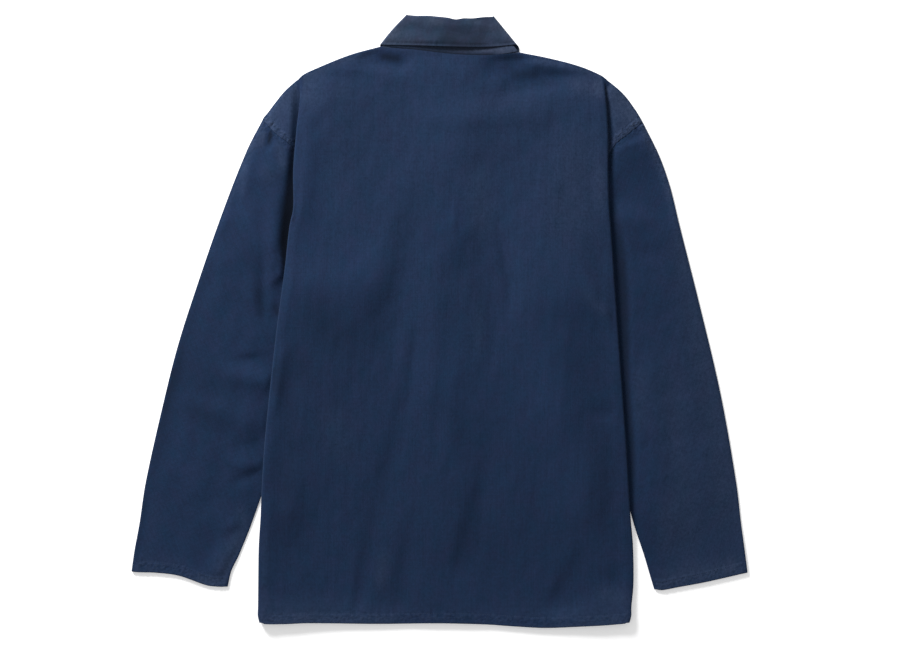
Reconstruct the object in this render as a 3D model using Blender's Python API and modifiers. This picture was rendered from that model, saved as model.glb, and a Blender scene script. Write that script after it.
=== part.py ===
"""Chore shirt laid flat on its front, back up, with both sleeves folded in under its sides.

Lengths are in millimetres and are turned to metres as each mesh is made. X runs across the
shirt, +Y runs from the hem to the collar, and Z is up from the surface the shirt lies on.
Left and right are the wearer's own.
"""

import math

import bmesh
import bpy
from mathutils import Vector

MM = 0.001

# Cloth
WALL = 1.0
GAP = 0.3
PITCH = WALL + GAP          # from one layer of cloth to the next
HALF_WALL = WALL / 2
HALF_PITCH = PITCH / 2      # middle radius where cloth is folded flat on itself
FOLD_RADIUS = 1.5 * PITCH   # middle radius of the cloth outside such a fold
FOLD_STEPS = 4

# Body
CENTRE_X = 12
HEM_Y = -400
NECK_SHARE = 0.46           # part of the top edge, from centre to side, taken by the neck
SHOULDER_TURN = 12          # back cloth that turns over the shoulder on to the front
FRONT_NECK_DROP = 70        # front neck edge below the back neck seam, at the centre
LAP = 15                    # how far each front passes the centre line

# Side of the body, turned under down its whole length: the folded edge that shows.
SIDE_FOLD = (
    # y, left x, right x
    (326, -184, 218),
    (241, -193, 224),
    (161, -196, 225),
    (89, -206, 228),
    (-20, -218, 236),
    (-158, -233, 247),
    (-291, -241, 255),
    (-400, -242, 252),
)

# How far the turned-under side reaches back in towards the centre.
UNDERARM_ROW = 0.35
TURN_UNDER = (
    # share of the way down, width
    (0.0, 5),
    (UNDERARM_ROW, 68),
    (0.6, 43),
    (0.8, 25),
    (1.0, 10),
)

# Seam between the back and the collar stand.
NECK_SEAM = (
    # share across, x, y
    (0.0, -78, 362),
    (0.2, -40, 361),
    (0.4, -5, 357),
    (0.55, 24, 354),
    (0.75, 60, 353),
    (1.0, 105, 356),
)

# Top edge from the side of the neck (0) past the top of the side fold (1) to the sleeve seam (2).
SHOULDER = (
    # station, left x, left y, right x, right y
    (0.0, -78, 362, 105, 356),
    (0.4, -120, 353, 146, 349),
    (0.75, -160, 337, 188, 337),
    (1.0, -184, 325, 218, 322),
    (1.35, -205, 306, 239, 304),
    (1.7, -224, 282, 257, 281),
    (2.0, -235, 267, 269, 262),
)

# Bottom edge of the body.
HEM = (
    # x, y
    (-250, -400),
    (40, -400),
    (85, -405),
    (145, -408),
    (200, -405),
    (260, -400),
)

# Seam between body and sleeve, from the overarm (0) to the underarm (1).
ARMHOLE = (
    # station, left x, left y, right x, right y
    (0.0, -235, 267, 269, 262),
    (0.12, -218, 250, 251, 250),
    (0.27, -193, 227, 226, 233),
    (0.6, -165, 150, 190, 155),
    (1.0, -147, 70, 168, 70),
)

# Long edges of the sleeves, from the armhole (0) to the cuff (1).
SLEEVE_LEFT = (
    # station, overarm x, overarm y, underarm x, underarm y
    (0.0, -235, 267, -147, 70),
    (0.07, -256, 226, -155, 40),
    (0.22, -292, 136, -175, -23),
    (0.4, -329, 28, -197, -99),
    (0.6, -363, -93, -222, -183),
    (0.8, -390, -213, -251, -268),
    (0.9, -399, -273, -268, -310),
    (1.0, -407, -332, -284, -351),
)
SLEEVE_RIGHT = (
    # station, overarm x, overarm y, underarm x, underarm y
    (0.0, 269, 262, 168, 70),
    (0.07, 289, 219, 176, 40),
    (0.22, 317, 129, 193, -24),
    (0.4, 343, 22, 213, -100),
    (0.6, 370, -97, 236, -186),
    (0.8, 392, -216, 259, -271),
    (0.9, 400, -276, 273, -313),
    (1.0, 407, -334, 288, -355),
)

# Open end of the sleeves, from the overarm (0) to the underarm (1).
CUFF = (
    # station, left x, left y, right x, right y
    (0.0, -407, -332, 407, -334),
    (0.25, -378, -333, 378, -340),
    (0.5, -347, -337, 348, -346),
    (0.8, -310, -350, 312, -352),
    (1.0, -284, -351, 288, -355),
)

# Collar, from the left side (0) across the back to the right side (1).
COLLAR_ROLL = (
    # share across, x, y
    (0.0, -47, 405),
    (0.2, -23, 404),
    (0.5, 12, 402),
    (0.62, 27, 401),
    (1.0, 75, 403),
)
COLLAR_EDGE = (
    # share across, x, y
    (0.0, -79, 367),
    (0.25, -33, 365),
    (0.55, 23, 362),
    (0.8, 66, 364),
    (1.0, 104, 367),
)
ROLL_RETURN = 10            # fall cloth inside the roll, where the stand begins
STAND_INSET = 2.5           # stand's folded corner, in from the side of the neck
STAND_SEAM_GAP = 1.6 * GAP  # the neck seam is curved, and its facets need a little more room
CORNER_SHARPNESS = 6        # how quickly the stand runs into its folded corners
COLLAR_FRONT_GAP = 3        # each front end of the collar, from the centre line
ROLL_FRONT_Y = 317          # roll at the front ends
COLLAR_POINT_X = 45         # collar point, from the centre line
COLLAR_POINT_Y = 252
COLLAR_EDGE_BOW = 12        # free edge of the front leaf, outwards over the neck seam

# Buttons, which the fronts lie on
BUTTON_COUNT = 5
BUTTON_TOP_Y = 250
BUTTON_SPACING = 125
BUTTON_RADIUS = 8.5
BUTTON_HEIGHT = 2.4
BUTTON_RIM = 1.6            # width of the raised rim
BUTTON_DISH = 0.6           # depth of the dish inside the rim
BUTTON_BEVEL = 0.4
BUTTON_HOLE_RADIUS = 0.9
BUTTON_HOLE_PITCH = 3.2     # between neighbouring holes
BUTTON_SIDES = 20
HOLE_SIDES = 6

# How the body settles over what lies under it
SIDE_RAMP = 90              # slope from the folded sides down to the middle
SIDE_MARGIN = 14            # level part past the turned-under cloth
SLEEVE_END_Y = (-245, -320)     # sides come down past the sleeves between these heights
BUTTON_RIDGE = 80           # half width of the soft ridge over the buttons
RIDGE_TOP_Y = (262, 305)        # the ridge fades out between these heights
RIDGE_BOTTOM_Y = (-262, -330)
LAP_SLOPE = (18, 60)            # the lapped fronts level out between these distances
LAP_TOP_Y = (290, 345)
NECK_RISE_CENTRE_Y = 345
NECK_RISE = (105, 180)          # cloth over the collar's front leaf, level then sloping

SLEEVE_LAYERS = 2 * PITCH   # both layers of a sleeve, with the gap above them

# How far the upper cloth stands off what it lies on, away from folds and edges
BACK_LOFT = 2.0
BACK_LOFT_SLOPE = (0.15, 0.08)  # shares of the half width and of the length
SLEEVE_LOFT = 3.0
SLEEVE_LOFT_START = 30          # clear of the body's folded side
SLEEVE_LOFT_SLOPE = 40
CUFF_SLOPE = 0.15               # share of the sleeve's length

# Colours
NAVY = (0.016, 0.031, 0.072, 1.0)
NAVY_COLLAR = (0.021, 0.037, 0.078, 1.0)
BUTTON_NAVY = (0.010, 0.014, 0.026, 1.0)


# ---------------------------------------------------------------- curves and heights

def ease(value):
    """A soft step from 0 to 1."""
    share = min(max(value, 0.0), 1.0)
    return share * share * (3 - 2 * share)


def between(value, start, end):
    """How far value has gone from start to end, as a soft step."""
    return ease((value - start) / (end - start))


def curve(table, station):
    """Smooth curve through a table's rows: first column the station, the rest its values."""
    rows = sorted(table)
    station = min(max(station, rows[0][0]), rows[-1][0])
    index = 0
    while index < len(rows) - 2 and station > rows[index + 1][0]:
        index += 1
    low, high = rows[index], rows[index + 1]
    before = rows[index - 1] if index else low
    after = rows[index + 2] if index + 2 < len(rows) else high
    span = high[0] - low[0]
    share = (station - low[0]) / span
    values = []
    for column in range(1, len(low)):
        chord = (high[column] - low[column]) / span
        leaving = (high[column] - before[column]) / (high[0] - before[0]) if index else chord
        arriving = (after[column] - low[column]) / (after[0] - low[0])
        value = low[column] * (1 + 2 * share) * (1 - share) ** 2
        value += high[column] * share ** 2 * (3 - 2 * share)
        value += span * leaving * share * (1 - share) ** 2
        value += span * arriving * share ** 2 * (share - 1)
        values.append(value)
    return values


def side_curve(table, station, side):
    """Plan point on a table that holds a left pair and a right pair of columns."""
    values = curve(table, station)
    return Vector(values[:2] if side < 0 else values[2:])


def patch(top, bottom, near, far, across, down):
    """Plan point inside four edges, each given as a function of its own share."""
    ruled = top(across).lerp(bottom(across), down)
    ruled += near(down).lerp(far(down), across)
    corners = top(0).lerp(top(1), across).lerp(bottom(0).lerp(bottom(1), across), down)
    return ruled - corners


def square_out(edge, share):
    """Unit vector square to an edge, to the left of the way it runs."""
    step = 0.01
    tangent = edge(min(share + step, 1)) - edge(max(share - step, 0))
    return Vector((-tangent.y, tangent.x)).normalized()


# ---------------------------------------------------------------- body in plan

def shoulder(side, station):
    return side_curve(SHOULDER, station, side)


def side_fold(side, down):
    """Start of the rounded fold at the body's side, just inside the edge that shows."""
    top_y = shoulder(side, 1).y
    y = top_y + down * (HEM_Y - top_y)
    left_x, right_x = curve(SIDE_FOLD, y)
    edge_x = left_x if side < 0 else right_x
    return Vector((edge_x - side * (FOLD_RADIUS + HALF_WALL), y))


def turned_edge(side, down):
    """Inner edge of the cloth that is turned under."""
    width = curve(TURN_UNDER, down)[0]
    return side_fold(side, down) - Vector((side * width, 0))


def neck_seam(share):
    return Vector(curve(NECK_SEAM, share))


def body_top(across):
    """Top edge of the back from the left side fold (-1) to the right one (1)."""
    if abs(across) <= NECK_SHARE:
        return neck_seam((across / NECK_SHARE + 1) / 2)
    side = math.copysign(1, across)
    start = shoulder(side, 1)
    station = (abs(across) - NECK_SHARE) / (1 - NECK_SHARE)
    inset = Vector((side_fold(side, 0).x - start.x, 0)) * station
    return shoulder(side, station) + inset


def hem(across):
    side = -1 if across < 0 else 1
    x = CENTRE_X + abs(across) * (side_fold(side, 1).x - CENTRE_X)
    return Vector((x, curve(HEM, x)[0]))


def main_leaf(across, down):
    return patch(
        lambda share: body_top(2 * share - 1),
        lambda share: hem(2 * share - 1),
        lambda share: side_fold(-1, share),
        lambda share: side_fold(1, share),
        (across + 1) / 2,
        down,
    )


def shoulder_cap(side, across, down):
    """Body cloth between the inner fold and the sleeve seam."""
    foot = turned_edge(side, UNDERARM_ROW)
    head = turned_edge(side, 0)
    return patch(
        lambda share: shoulder(side, 1 + share) + (head - shoulder(side, 1)) * (1 - share) ** 2,
        lambda share: foot.lerp(side_curve(ARMHOLE, 1, side), share),
        lambda share: turned_edge(side, share * UNDERARM_ROW),
        lambda share: side_curve(ARMHOLE, share, side),
        across,
        down / UNDERARM_ROW,
    )


def front_neck_start(across):
    """Share of the way down at which a front begins, below the shoulder turn or the neck edge."""
    turn = SHOULDER_TURN / (shoulder(1, 1).y - HEM_Y)
    if abs(across) >= NECK_SHARE:
        return turn
    deep = FRONT_NECK_DROP / (neck_seam(0.5).y - HEM_Y)
    return turn + (deep - turn) * math.sqrt(1 - (across / NECK_SHARE) ** 2)


# ---------------------------------------------------------------- body heights

def sides_base(y):
    """Underside of the turned-under cloth: on the sleeves, then down on the surface."""
    return SLEEVE_LAYERS * (1 - between(y, *SLEEVE_END_Y))


def side_weight(x, y):
    """1 over the turned-under sides, 0 in the middle of the body."""
    side = -1 if x < CENTRE_X else 1
    top_y = shoulder(side, 1).y
    down = min(max((top_y - y) / (top_y - HEM_Y), 0), 1)
    inner = turned_edge(side, down).x - side * SIDE_MARGIN
    return 1 - ease(side * (inner - x) / SIDE_RAMP)


def middle_base(x, y):
    """Underside of the fronts away from the sides: over the buttons and the collar's leaf."""
    ridge = 0.5 + 0.5 * math.cos(math.pi * min(abs(x - CENTRE_X) / BUTTON_RIDGE, 1))
    ridge *= 1 - between(y, *RIDGE_TOP_Y)
    ridge *= 1 - between(y, *RIDGE_BOTTOM_Y)
    reach = math.hypot(x - CENTRE_X, y - NECK_RISE_CENTRE_Y)
    neck = 1 - between(reach, *NECK_RISE)
    return (BUTTON_HEIGHT + 2 * GAP) * ridge + PITCH * neck * (1 - ridge)


def lap_share(x, y):
    """1 where the two fronts lie on each other."""
    lapped = 1 - between(abs(x - CENTRE_X), *LAP_SLOPE)
    return lapped * (1 - between(y, *LAP_TOP_Y))


def back_height(x, y):
    """Middle of the back's wall over the body's main leaf."""
    weight = side_weight(x, y)
    sides = sides_base(y) + 2 * PITCH
    base = middle_base(x, y) * (1 - weight) + sides * weight
    return base + PITCH * (1 + lap_share(x, y)) + HALF_WALL


# ---------------------------------------------------------------- body in space

def on_body(across, down, depth):
    """Point on the folded body.

    across runs from the centre (0) by its sign to a side: main leaf to 1, outer fold to 2,
    turned-under leaf to 3, inner fold to 4 and shoulder cap to 5. depth is how far the
    point lies below the middle of the back's wall, towards the inside of the shirt.
    """
    side = -1 if across < 0 else 1
    leaf = max(math.ceil(abs(across)) - 1, 0)
    share = abs(across) - leaf
    if leaf == 0:
        point = main_leaf(across, down)
        return Vector((*point, back_height(*point) - depth))
    if leaf == 1:
        centre = side_fold(side, down)
        base = sides_base(centre.y) + FOLD_RADIUS + HALF_WALL
        return turn_point(centre, Vector((side, 0)), base, FOLD_RADIUS - depth, share)
    if leaf == 2:
        point = side_fold(side, down).lerp(turned_edge(side, down), share)
        return Vector((*point, sides_base(point.y) + HALF_WALL + depth))
    if leaf == 3:
        centre = turned_edge(side, down)
        middle = SLEEVE_LAYERS + HALF_WALL - HALF_PITCH
        return turn_point(centre, Vector((-side, 0)), middle, HALF_PITCH + depth, share)
    point = shoulder_cap(side, share, down)
    return Vector((*point, PITCH + HALF_WALL - depth))


def turn_point(centre, outward, middle_z, radius, share):
    """Point on a half round fold, from its top (0) to its bottom (1)."""
    angle = math.pi * share
    plan = centre + outward * (radius * math.sin(angle))
    return Vector((*plan, middle_z + radius * math.cos(angle)))


def on_shoulder_turn(across, turn):
    """Point on the back's cloth where it turns over the shoulder.

    turn runs from the top edge (0) round the turn (1) and down the front side (2).
    """
    if turn > 1:
        reach = (turn - 1) * (front_neck_start(1) - 2 * GAP / (shoulder(1, 1).y - HEM_Y))
        return on_body(across, reach, PITCH)
    side = -1 if across < 0 else 1
    station = min(max((abs(across) - NECK_SHARE) / (1 - NECK_SHARE), 0), 1)
    station += max(abs(across) - 4, 0)
    out = square_out(lambda share: shoulder(side, 2 * share), station / 2)
    if out.y < 0:
        out = -out
    angle = math.pi * turn
    point = on_body(across, 0, HALF_PITCH * (1 - math.cos(angle)))
    return point + Vector((*(out * (HALF_PITCH * math.sin(angle))), 0))


# ---------------------------------------------------------------- making meshes

MERGE_DISTANCE = 0.05
SHARP_ANGLE = math.radians(40)


def clear_scene():
    for item in list(bpy.data.objects):
        bpy.data.objects.remove(item, do_unlink=True)


def make_collection(name):
    collection = bpy.data.collections.new(name)
    bpy.context.scene.collection.children.link(collection)
    return collection


def make_material(name, colour, roughness):
    material = bpy.data.materials.new(name)
    material.use_nodes = True
    shader = material.node_tree.nodes["Principled BSDF"]
    shader.inputs["Base Color"].default_value = colour
    shader.inputs["Roughness"].default_value = roughness
    shader.inputs["Metallic"].default_value = 0.0
    return material


def add_grid(bm, columns, rows, place, keep=None):
    """Grid with a line of points at each column and row value, each put where place says."""
    made = bmesh.ops.create_grid(
        bm, x_segments=len(columns) - 1, y_segments=len(rows) - 1, size=0.5)
    verts = made["verts"]
    faces = {face for vert in verts for face in vert.link_faces}
    if keep:
        spare = []
        for face in faces:
            middle = face.calc_center_median()
            column = int((middle.x + 0.5) * (len(columns) - 1))
            row = int((middle.y + 0.5) * (len(rows) - 1))
            cell = ((columns[column] + columns[column + 1]) / 2, (rows[row] + rows[row + 1]) / 2)
            if not keep(*cell):
                spare.append(face)
        bmesh.ops.delete(bm, geom=spare, context="FACES")
    for vert in [vert for vert in verts if vert.is_valid]:
        column = columns[round((vert.co.x + 0.5) * (len(columns) - 1))]
        row = rows[round((vert.co.y + 0.5) * (len(rows) - 1))]
        vert.co = place(column, row) * MM


def cloth_object(name, bm, material, collection):
    """Object with the grid's middle surface as a wall of cloth."""
    bmesh.ops.triangulate(bm, faces=bm.faces, quad_method="FIXED")
    bmesh.ops.remove_doubles(bm, verts=bm.verts, dist=MERGE_DISTANCE * MM)
    bmesh.ops.recalc_face_normals(bm, faces=bm.faces)
    mesh = bpy.data.meshes.new(name)
    bm.to_mesh(mesh)
    bm.free()
    mesh.materials.append(material)
    item = bpy.data.objects.new(name, mesh)
    collection.objects.link(item)
    wall = item.modifiers.new("wall", "SOLIDIFY")
    wall.thickness = WALL * MM
    wall.offset = 0
    wall.use_even_offset = True
    mesh.shade_smooth()
    mesh.set_sharp_from_angle(angle=SHARP_ANGLE)
    return item


def steps(start, end, count):
    """Values after start, up to and with end, in equal steps."""
    return [start + (end - start) * number / count for number in range(1, count + 1)]


# ---------------------------------------------------------------- body pieces

HALF_WIDTH = 230            # body as laid, across the chest
LAP_COLUMN = LAP / HALF_WIDTH
MAIN_COLUMNS = (LAP_COLUMN, 0.2, 0.33, NECK_SHARE, 0.6, 0.73, 0.86, 0.93, 1.0)
SIDE_COLUMNS = (
    *MAIN_COLUMNS,
    *steps(1, 2, FOLD_STEPS),
    *steps(2, 3, 2),
    *steps(3, 4, FOLD_STEPS),
    *steps(4, 5, 3),
)
UPPER_ROWS = steps(0, UNDERARM_ROW, 6)
LOWER_ROWS = steps(UNDERARM_ROW, 1, 10)


def wanted(across, down):
    """The inner fold and the shoulder cap end at the underarm."""
    return abs(across) < 3 or down < UNDERARM_ROW


def on_back(across, down):
    across_slope, down_slope = BACK_LOFT_SLOPE
    loft = BACK_LOFT * ease((1 - abs(across)) / across_slope)
    loft *= ease(down / down_slope) * ease((1 - down) / down_slope)
    return on_body(across, down, 0) + Vector((0, 0, loft))


def add_back(material, collection):
    bm = bmesh.new()
    columns = [-value for value in reversed(SIDE_COLUMNS)] + [0] + list(SIDE_COLUMNS)
    rows = [0, *UPPER_ROWS, *LOWER_ROWS]
    add_grid(bm, columns, rows, on_back, wanted)
    turn_rows = [0, *steps(0, 1, FOLD_STEPS), 2]
    for side in (-1, 1):
        turned = [side * value for value in SIDE_COLUMNS if value >= NECK_SHARE]
        add_grid(bm, turned, turn_rows, on_shoulder_turn)
    cloth_object("back", bm, material, collection)


def add_front(name, side, material, collection):
    """A front, from the lap past the centre line to its sleeve seam."""
    def depth(across, down):
        if side > 0 or abs(across) > 1:
            return PITCH
        return PITCH * (1 + lap_share(*main_leaf(across, down)))

    def place(across, down):
        start = front_neck_start(across)
        if abs(across) >= NECK_SHARE:
            down = max(down, start)
        elif down < UNDERARM_ROW:
            down = start + (UNDERARM_ROW - start) * down / UNDERARM_ROW
        return on_body(across, down, depth(across, down))

    bm = bmesh.new()
    columns = sorted([-side * LAP_COLUMN, 0] + [side * value for value in SIDE_COLUMNS])
    rows = [0, *UPPER_ROWS, *LOWER_ROWS]
    add_grid(bm, columns, rows, place, wanted)
    cloth_object(name, bm, material, collection)


# ---------------------------------------------------------------- sleeves

SLEEVE_SEAM_START = 0.0012  # leaves the gap at the armhole seam
SLEEVE_ROWS = [SLEEVE_SEAM_START, 0.07, *steps(0.07, 1, 13)]
SLEEVE_LEAF_COLUMNS = 6     # as many as the body's rows down to the underarm


def sleeve_plan(side, across, along):
    """Plan point on a sleeve, from overarm (0) to underarm (1) and armhole (0) to cuff (1)."""
    table = SLEEVE_LEFT if side < 0 else SLEEVE_RIGHT
    return patch(
        lambda share: side_curve(ARMHOLE, share, side),
        lambda share: side_curve(CUFF, share, side),
        lambda share: Vector(curve(table, share)[:2]),
        lambda share: Vector(curve(table, share)[2:]),
        across,
        along,
    )


def on_sleeve_top(side, across, along):
    """Point on a sleeve's upper leaf, which stands a little off the lower one outside the body."""
    point = sleeve_plan(side, across, along)
    left_x, right_x = curve(SIDE_FOLD, point.y)
    clear = side * (point.x - (left_x if side < 0 else right_x))
    edge = sleeve_plan(side, 0, along)
    loft = SLEEVE_LOFT * ease((clear - SLEEVE_LOFT_START) / SLEEVE_LOFT_SLOPE)
    loft *= ease((edge - point).length / SLEEVE_LOFT_SLOPE) * ease((1 - along) / CUFF_SLOPE)
    return Vector((*point, PITCH + HALF_WALL + loft))


def on_sleeve(side, around, along):
    """Point on a flat sleeve: upper leaf to 1, overarm fold to 2, lower leaf to 3, underarm to 4."""
    leaf = min(int(around), 3)
    share = around - leaf
    if leaf == 0:
        return on_sleeve_top(side, 1 - share, along)
    if leaf == 2:
        return Vector((*sleeve_plan(side, share, along), HALF_WALL))
    across = 0 if leaf == 1 else 1
    out = square_out(lambda value: sleeve_plan(side, across, value), along)
    inwards = sleeve_plan(side, 0.5, along) - sleeve_plan(side, across, along)
    if out.dot(inwards) > 0:
        out = -out
    turned = share if leaf == 1 else 1 - share
    edge = sleeve_plan(side, across, along)
    return turn_point(edge, out, HALF_PITCH + HALF_WALL, HALF_PITCH, turned)


def add_sleeve(name, side, material, collection):
    bm = bmesh.new()
    around = [0]
    for start, count in enumerate((SLEEVE_LEAF_COLUMNS, FOLD_STEPS) * 2):
        around += steps(start, start + 1, count)
    add_grid(bm, around, SLEEVE_ROWS, lambda turn, along: on_sleeve(side, turn, along))
    cloth_object(name, bm, material, collection)


# ---------------------------------------------------------------- collar

COLLAR_MIDDLE_Z = HALF_WALL + FOLD_RADIUS
COLLAR_COLUMNS = [
    0, *steps(0, 1, 4), *steps(1, 2, FOLD_STEPS), *steps(2, 3, 8),
    *steps(3, 4, FOLD_STEPS), *steps(4, 5, 4),
]


def collar_front_side(side):
    return CENTRE_X + side * COLLAR_FRONT_GAP


def roll_line(around):
    """Plan point on the collar's roll.

    around runs from the left front end (0) to the left side (1 to 2), across the back to
    the right side (3 to 4), and to the right front end (5).
    """
    if 1 <= around <= 4:
        return Vector(curve(COLLAR_ROLL, min(max(around - 2, 0), 1)))
    side = -1 if around < 1 else 1
    share = around if side < 0 else 5 - around
    corner = Vector(curve(COLLAR_ROLL, 0 if side < 0 else 1))
    return Vector((collar_front_side(side), ROLL_FRONT_Y)).lerp(corner, share)


def fall_edge_line(around):
    """Plan point on the collar's free edge, round the same way as its roll."""
    if 1 <= around <= 4:
        return Vector(curve(COLLAR_EDGE, min(max(around - 2, 0), 1)))
    side = -1 if around < 1 else 1
    share = around if side < 0 else 5 - around
    corner = Vector(curve(COLLAR_EDGE, 0 if side < 0 else 1))
    point = Vector((CENTRE_X + side * COLLAR_POINT_X, COLLAR_POINT_Y)).lerp(corner, share)
    bow = COLLAR_EDGE_BOW * math.sin(math.pi * share)
    return point + Vector((side * bow, 0))


def stand_foot_line(around):
    """Plan point on the stand's lower edge, along the neck seam of the back and the fronts."""
    if 1 <= around <= 4:
        share = min(max(around - 2, 0), 1)
        corner_share = abs(2 * share - 1) ** CORNER_SHARPNESS
        side = -1 if share < 0.5 else 1
        inset = Vector((-side * STAND_INSET, STAND_INSET)) * corner_share
        return neck_seam(share) + Vector((0, STAND_SEAM_GAP)) + inset
    side = -1 if around < 1 else 1
    share = around if side < 0 else 5 - around
    turn = share * math.pi / 2
    across = side * NECK_SHARE * math.sin(turn)
    seam = main_leaf(across, front_neck_start(across) * math.sqrt(math.cos(turn)))
    inset = Vector((-side * STAND_INSET, STAND_INSET)) * share ** 3
    point = seam + Vector((0, 2 * STAND_SEAM_GAP)) + inset
    point.x = side * max(side * point.x, side * collar_front_side(side))
    return point


def past_roll(around):
    """Unit vector in plan out past the roll, away from the collar's free edge."""
    if 2 <= around <= 3:
        out = square_out(lambda share: roll_line(2 + share), around - 2)
        return out if out.y > 0 else -out
    side = -1 if around < 2 else 1
    turn = around if side < 0 else 5 - around
    front = square_out(lambda share: roll_line(share if side < 0 else 5 - share), min(turn, 1))
    front = front if front.x * side < 0 else -front
    if turn <= 1:
        return front
    corner = (roll_line(1) - fall_edge_line(1) if side < 0 else roll_line(4) - fall_edge_line(4))
    corner.normalize()
    if turn < 1.5:
        return front.lerp(corner, 2 * (turn - 1)).normalized()
    return corner.lerp(Vector((0, 1)), 2 * (turn - 1.5)).normalized()


def ring_point(around, plan, radius, climb):
    """Point of a collar layer: its two flat leaves, joined by half round folds at the sides.

    climb lifts the point past the roll, square to it.
    """
    plan = plan + past_roll(around) * climb
    if around <= 1 or around >= 4:
        return Vector((*plan, COLLAR_MIDDLE_Z - radius))
    if 2 <= around <= 3:
        return Vector((*plan, COLLAR_MIDDLE_Z + radius))
    side = -1 if around < 2 else 1
    slant = roll_line(around) - fall_edge_line(around)
    outward = Vector((slant.y, -slant.x)).normalized() * side
    share = 2 - around if side < 0 else around - 3
    return turn_point(plan, outward, COLLAR_MIDDLE_Z, radius, share)


def return_line(around, extra):
    """Plan point below the roll by the width of the cloth that goes inside it."""
    down = fall_edge_line(around) - roll_line(around)
    return roll_line(around) + down.normalized() * (ROLL_RETURN + extra)


def on_stand(around, down):
    plan = return_line(around, GAP).lerp(stand_foot_line(around), down)
    return ring_point(around, plan, HALF_PITCH, 0)


def on_fall(around, down):
    """Point on the fall: inside return up to 0, round the roll to 1, outer leaf to 2."""
    if down < 0:
        return ring_point(around, roll_line(around).lerp(return_line(around, 0), -down), HALF_PITCH, 0)
    if down <= 1:
        angle = math.pi * down
        radius = PITCH - HALF_PITCH * math.cos(angle)
        return ring_point(around, roll_line(around), radius, HALF_PITCH * math.sin(angle))
    plan = roll_line(around).lerp(fall_edge_line(around), down - 1)
    return ring_point(around, plan, FOLD_RADIUS, 0)


def add_collar(material, collection):
    bm = bmesh.new()
    add_grid(bm, COLLAR_COLUMNS, [0, 0.5, 1], on_stand)
    cloth_object("collar_stand", bm, material, collection)
    bm = bmesh.new()
    rows = [-1, 0, *steps(0, 1, FOLD_STEPS), 1.5, 2]
    add_grid(bm, COLLAR_COLUMNS, rows, on_fall)
    cloth_object("collar_fall", bm, material, collection)


# ---------------------------------------------------------------- buttons

def button_mesh(material):
    """Turned button with a raised rim on the side that faces down."""
    top = BUTTON_HEIGHT
    inner = BUTTON_RADIUS - BUTTON_RIM
    profile = (
        (0, top),
        (BUTTON_RADIUS - BUTTON_BEVEL, top),
        (BUTTON_RADIUS, top - BUTTON_BEVEL),
        (BUTTON_RADIUS, BUTTON_BEVEL),
        (BUTTON_RADIUS - BUTTON_BEVEL, 0),
        (inner, 0),
        (inner - BUTTON_DISH, BUTTON_DISH),
        (0, BUTTON_DISH),
    )
    mesh = bpy.data.meshes.new("button")
    points = [(radius * MM, 0, height * MM) for radius, height in profile]
    edges = [(index, index + 1) for index in range(len(points) - 1)]
    mesh.from_pydata(points, edges, [])
    mesh.materials.append(material)
    return mesh


def hole_cutter(collection):
    """Four round cutters in one object, at the corners of a square."""
    bm = bmesh.new()
    for side_x in (-1, 1):
        for side_y in (-1, 1):
            made = bmesh.ops.create_cone(
                bm, cap_ends=True, segments=HOLE_SIDES, radius1=BUTTON_HOLE_RADIUS * MM,
                radius2=BUTTON_HOLE_RADIUS * MM, depth=3 * BUTTON_HEIGHT * MM)
            middle = Vector((side_x, side_y, 0)) * (BUTTON_HOLE_PITCH / 2 * MM)
            bmesh.ops.translate(bm, verts=made["verts"], vec=middle)
    mesh = bpy.data.meshes.new("button_holes")
    bm.to_mesh(mesh)
    bm.free()
    cutter = bpy.data.objects.new("button_holes", mesh)
    cutter.hide_render = True
    cutter.display_type = "WIRE"
    collection.objects.link(cutter)
    return cutter


def add_buttons(material, collection, cutters):
    mesh = button_mesh(material)
    for number in range(1, BUTTON_COUNT + 1):
        place = Vector((CENTRE_X, BUTTON_TOP_Y - (number - 1) * BUTTON_SPACING, 0)) * MM
        item = bpy.data.objects.new(f"button_{number}", mesh)
        item.location = place
        collection.objects.link(item)
        turned = item.modifiers.new("turned", "SCREW")
        turned.steps = BUTTON_SIDES
        turned.render_steps = BUTTON_SIDES
        turned.use_merge_vertices = True
        turned.merge_threshold = MERGE_DISTANCE * MM
        cutter = hole_cutter(cutters)
        cutter.location = place
        holes = item.modifiers.new("holes", "BOOLEAN")
        holes.operation = "DIFFERENCE"
        holes.object = cutter


# ---------------------------------------------------------------- the shirt

clear_scene()
shirt = make_collection("chore_shirt")
cutter_collection = make_collection("cutters")

body_cloth = make_material("navy_body", NAVY, 0.9)
sleeve_cloth = make_material("navy_sleeve", NAVY, 0.9)
collar_cloth = make_material("navy_collar", NAVY_COLLAR, 0.9)
button_plastic = make_material("button_plastic", BUTTON_NAVY, 0.4)

add_back(body_cloth, shirt)
add_front("front_left", -1, body_cloth, shirt)
add_front("front_right", 1, body_cloth, shirt)
add_sleeve("sleeve_left", -1, sleeve_cloth, shirt)
add_sleeve("sleeve_right", 1, sleeve_cloth, shirt)
add_collar(collar_cloth, shirt)
add_buttons(button_plastic, shirt, cutter_collection)
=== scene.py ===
"""Chore shirt in slubby navy cotton, laid flat on its front with its back up.

Lengths are in millimetres until a mesh is made. In the materials and in the last section they
are in metres. X runs across the shirt, +Y from the hem to the collar, and Z up from the surface
that the shirt lies on. Left and right are the wearer's. Points are arrays whose first axis holds
x, y and z, so whole grids are worked out at once.
"""

import math

import bmesh
import bpy
import numpy as np
from mathutils import Matrix, Vector


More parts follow.
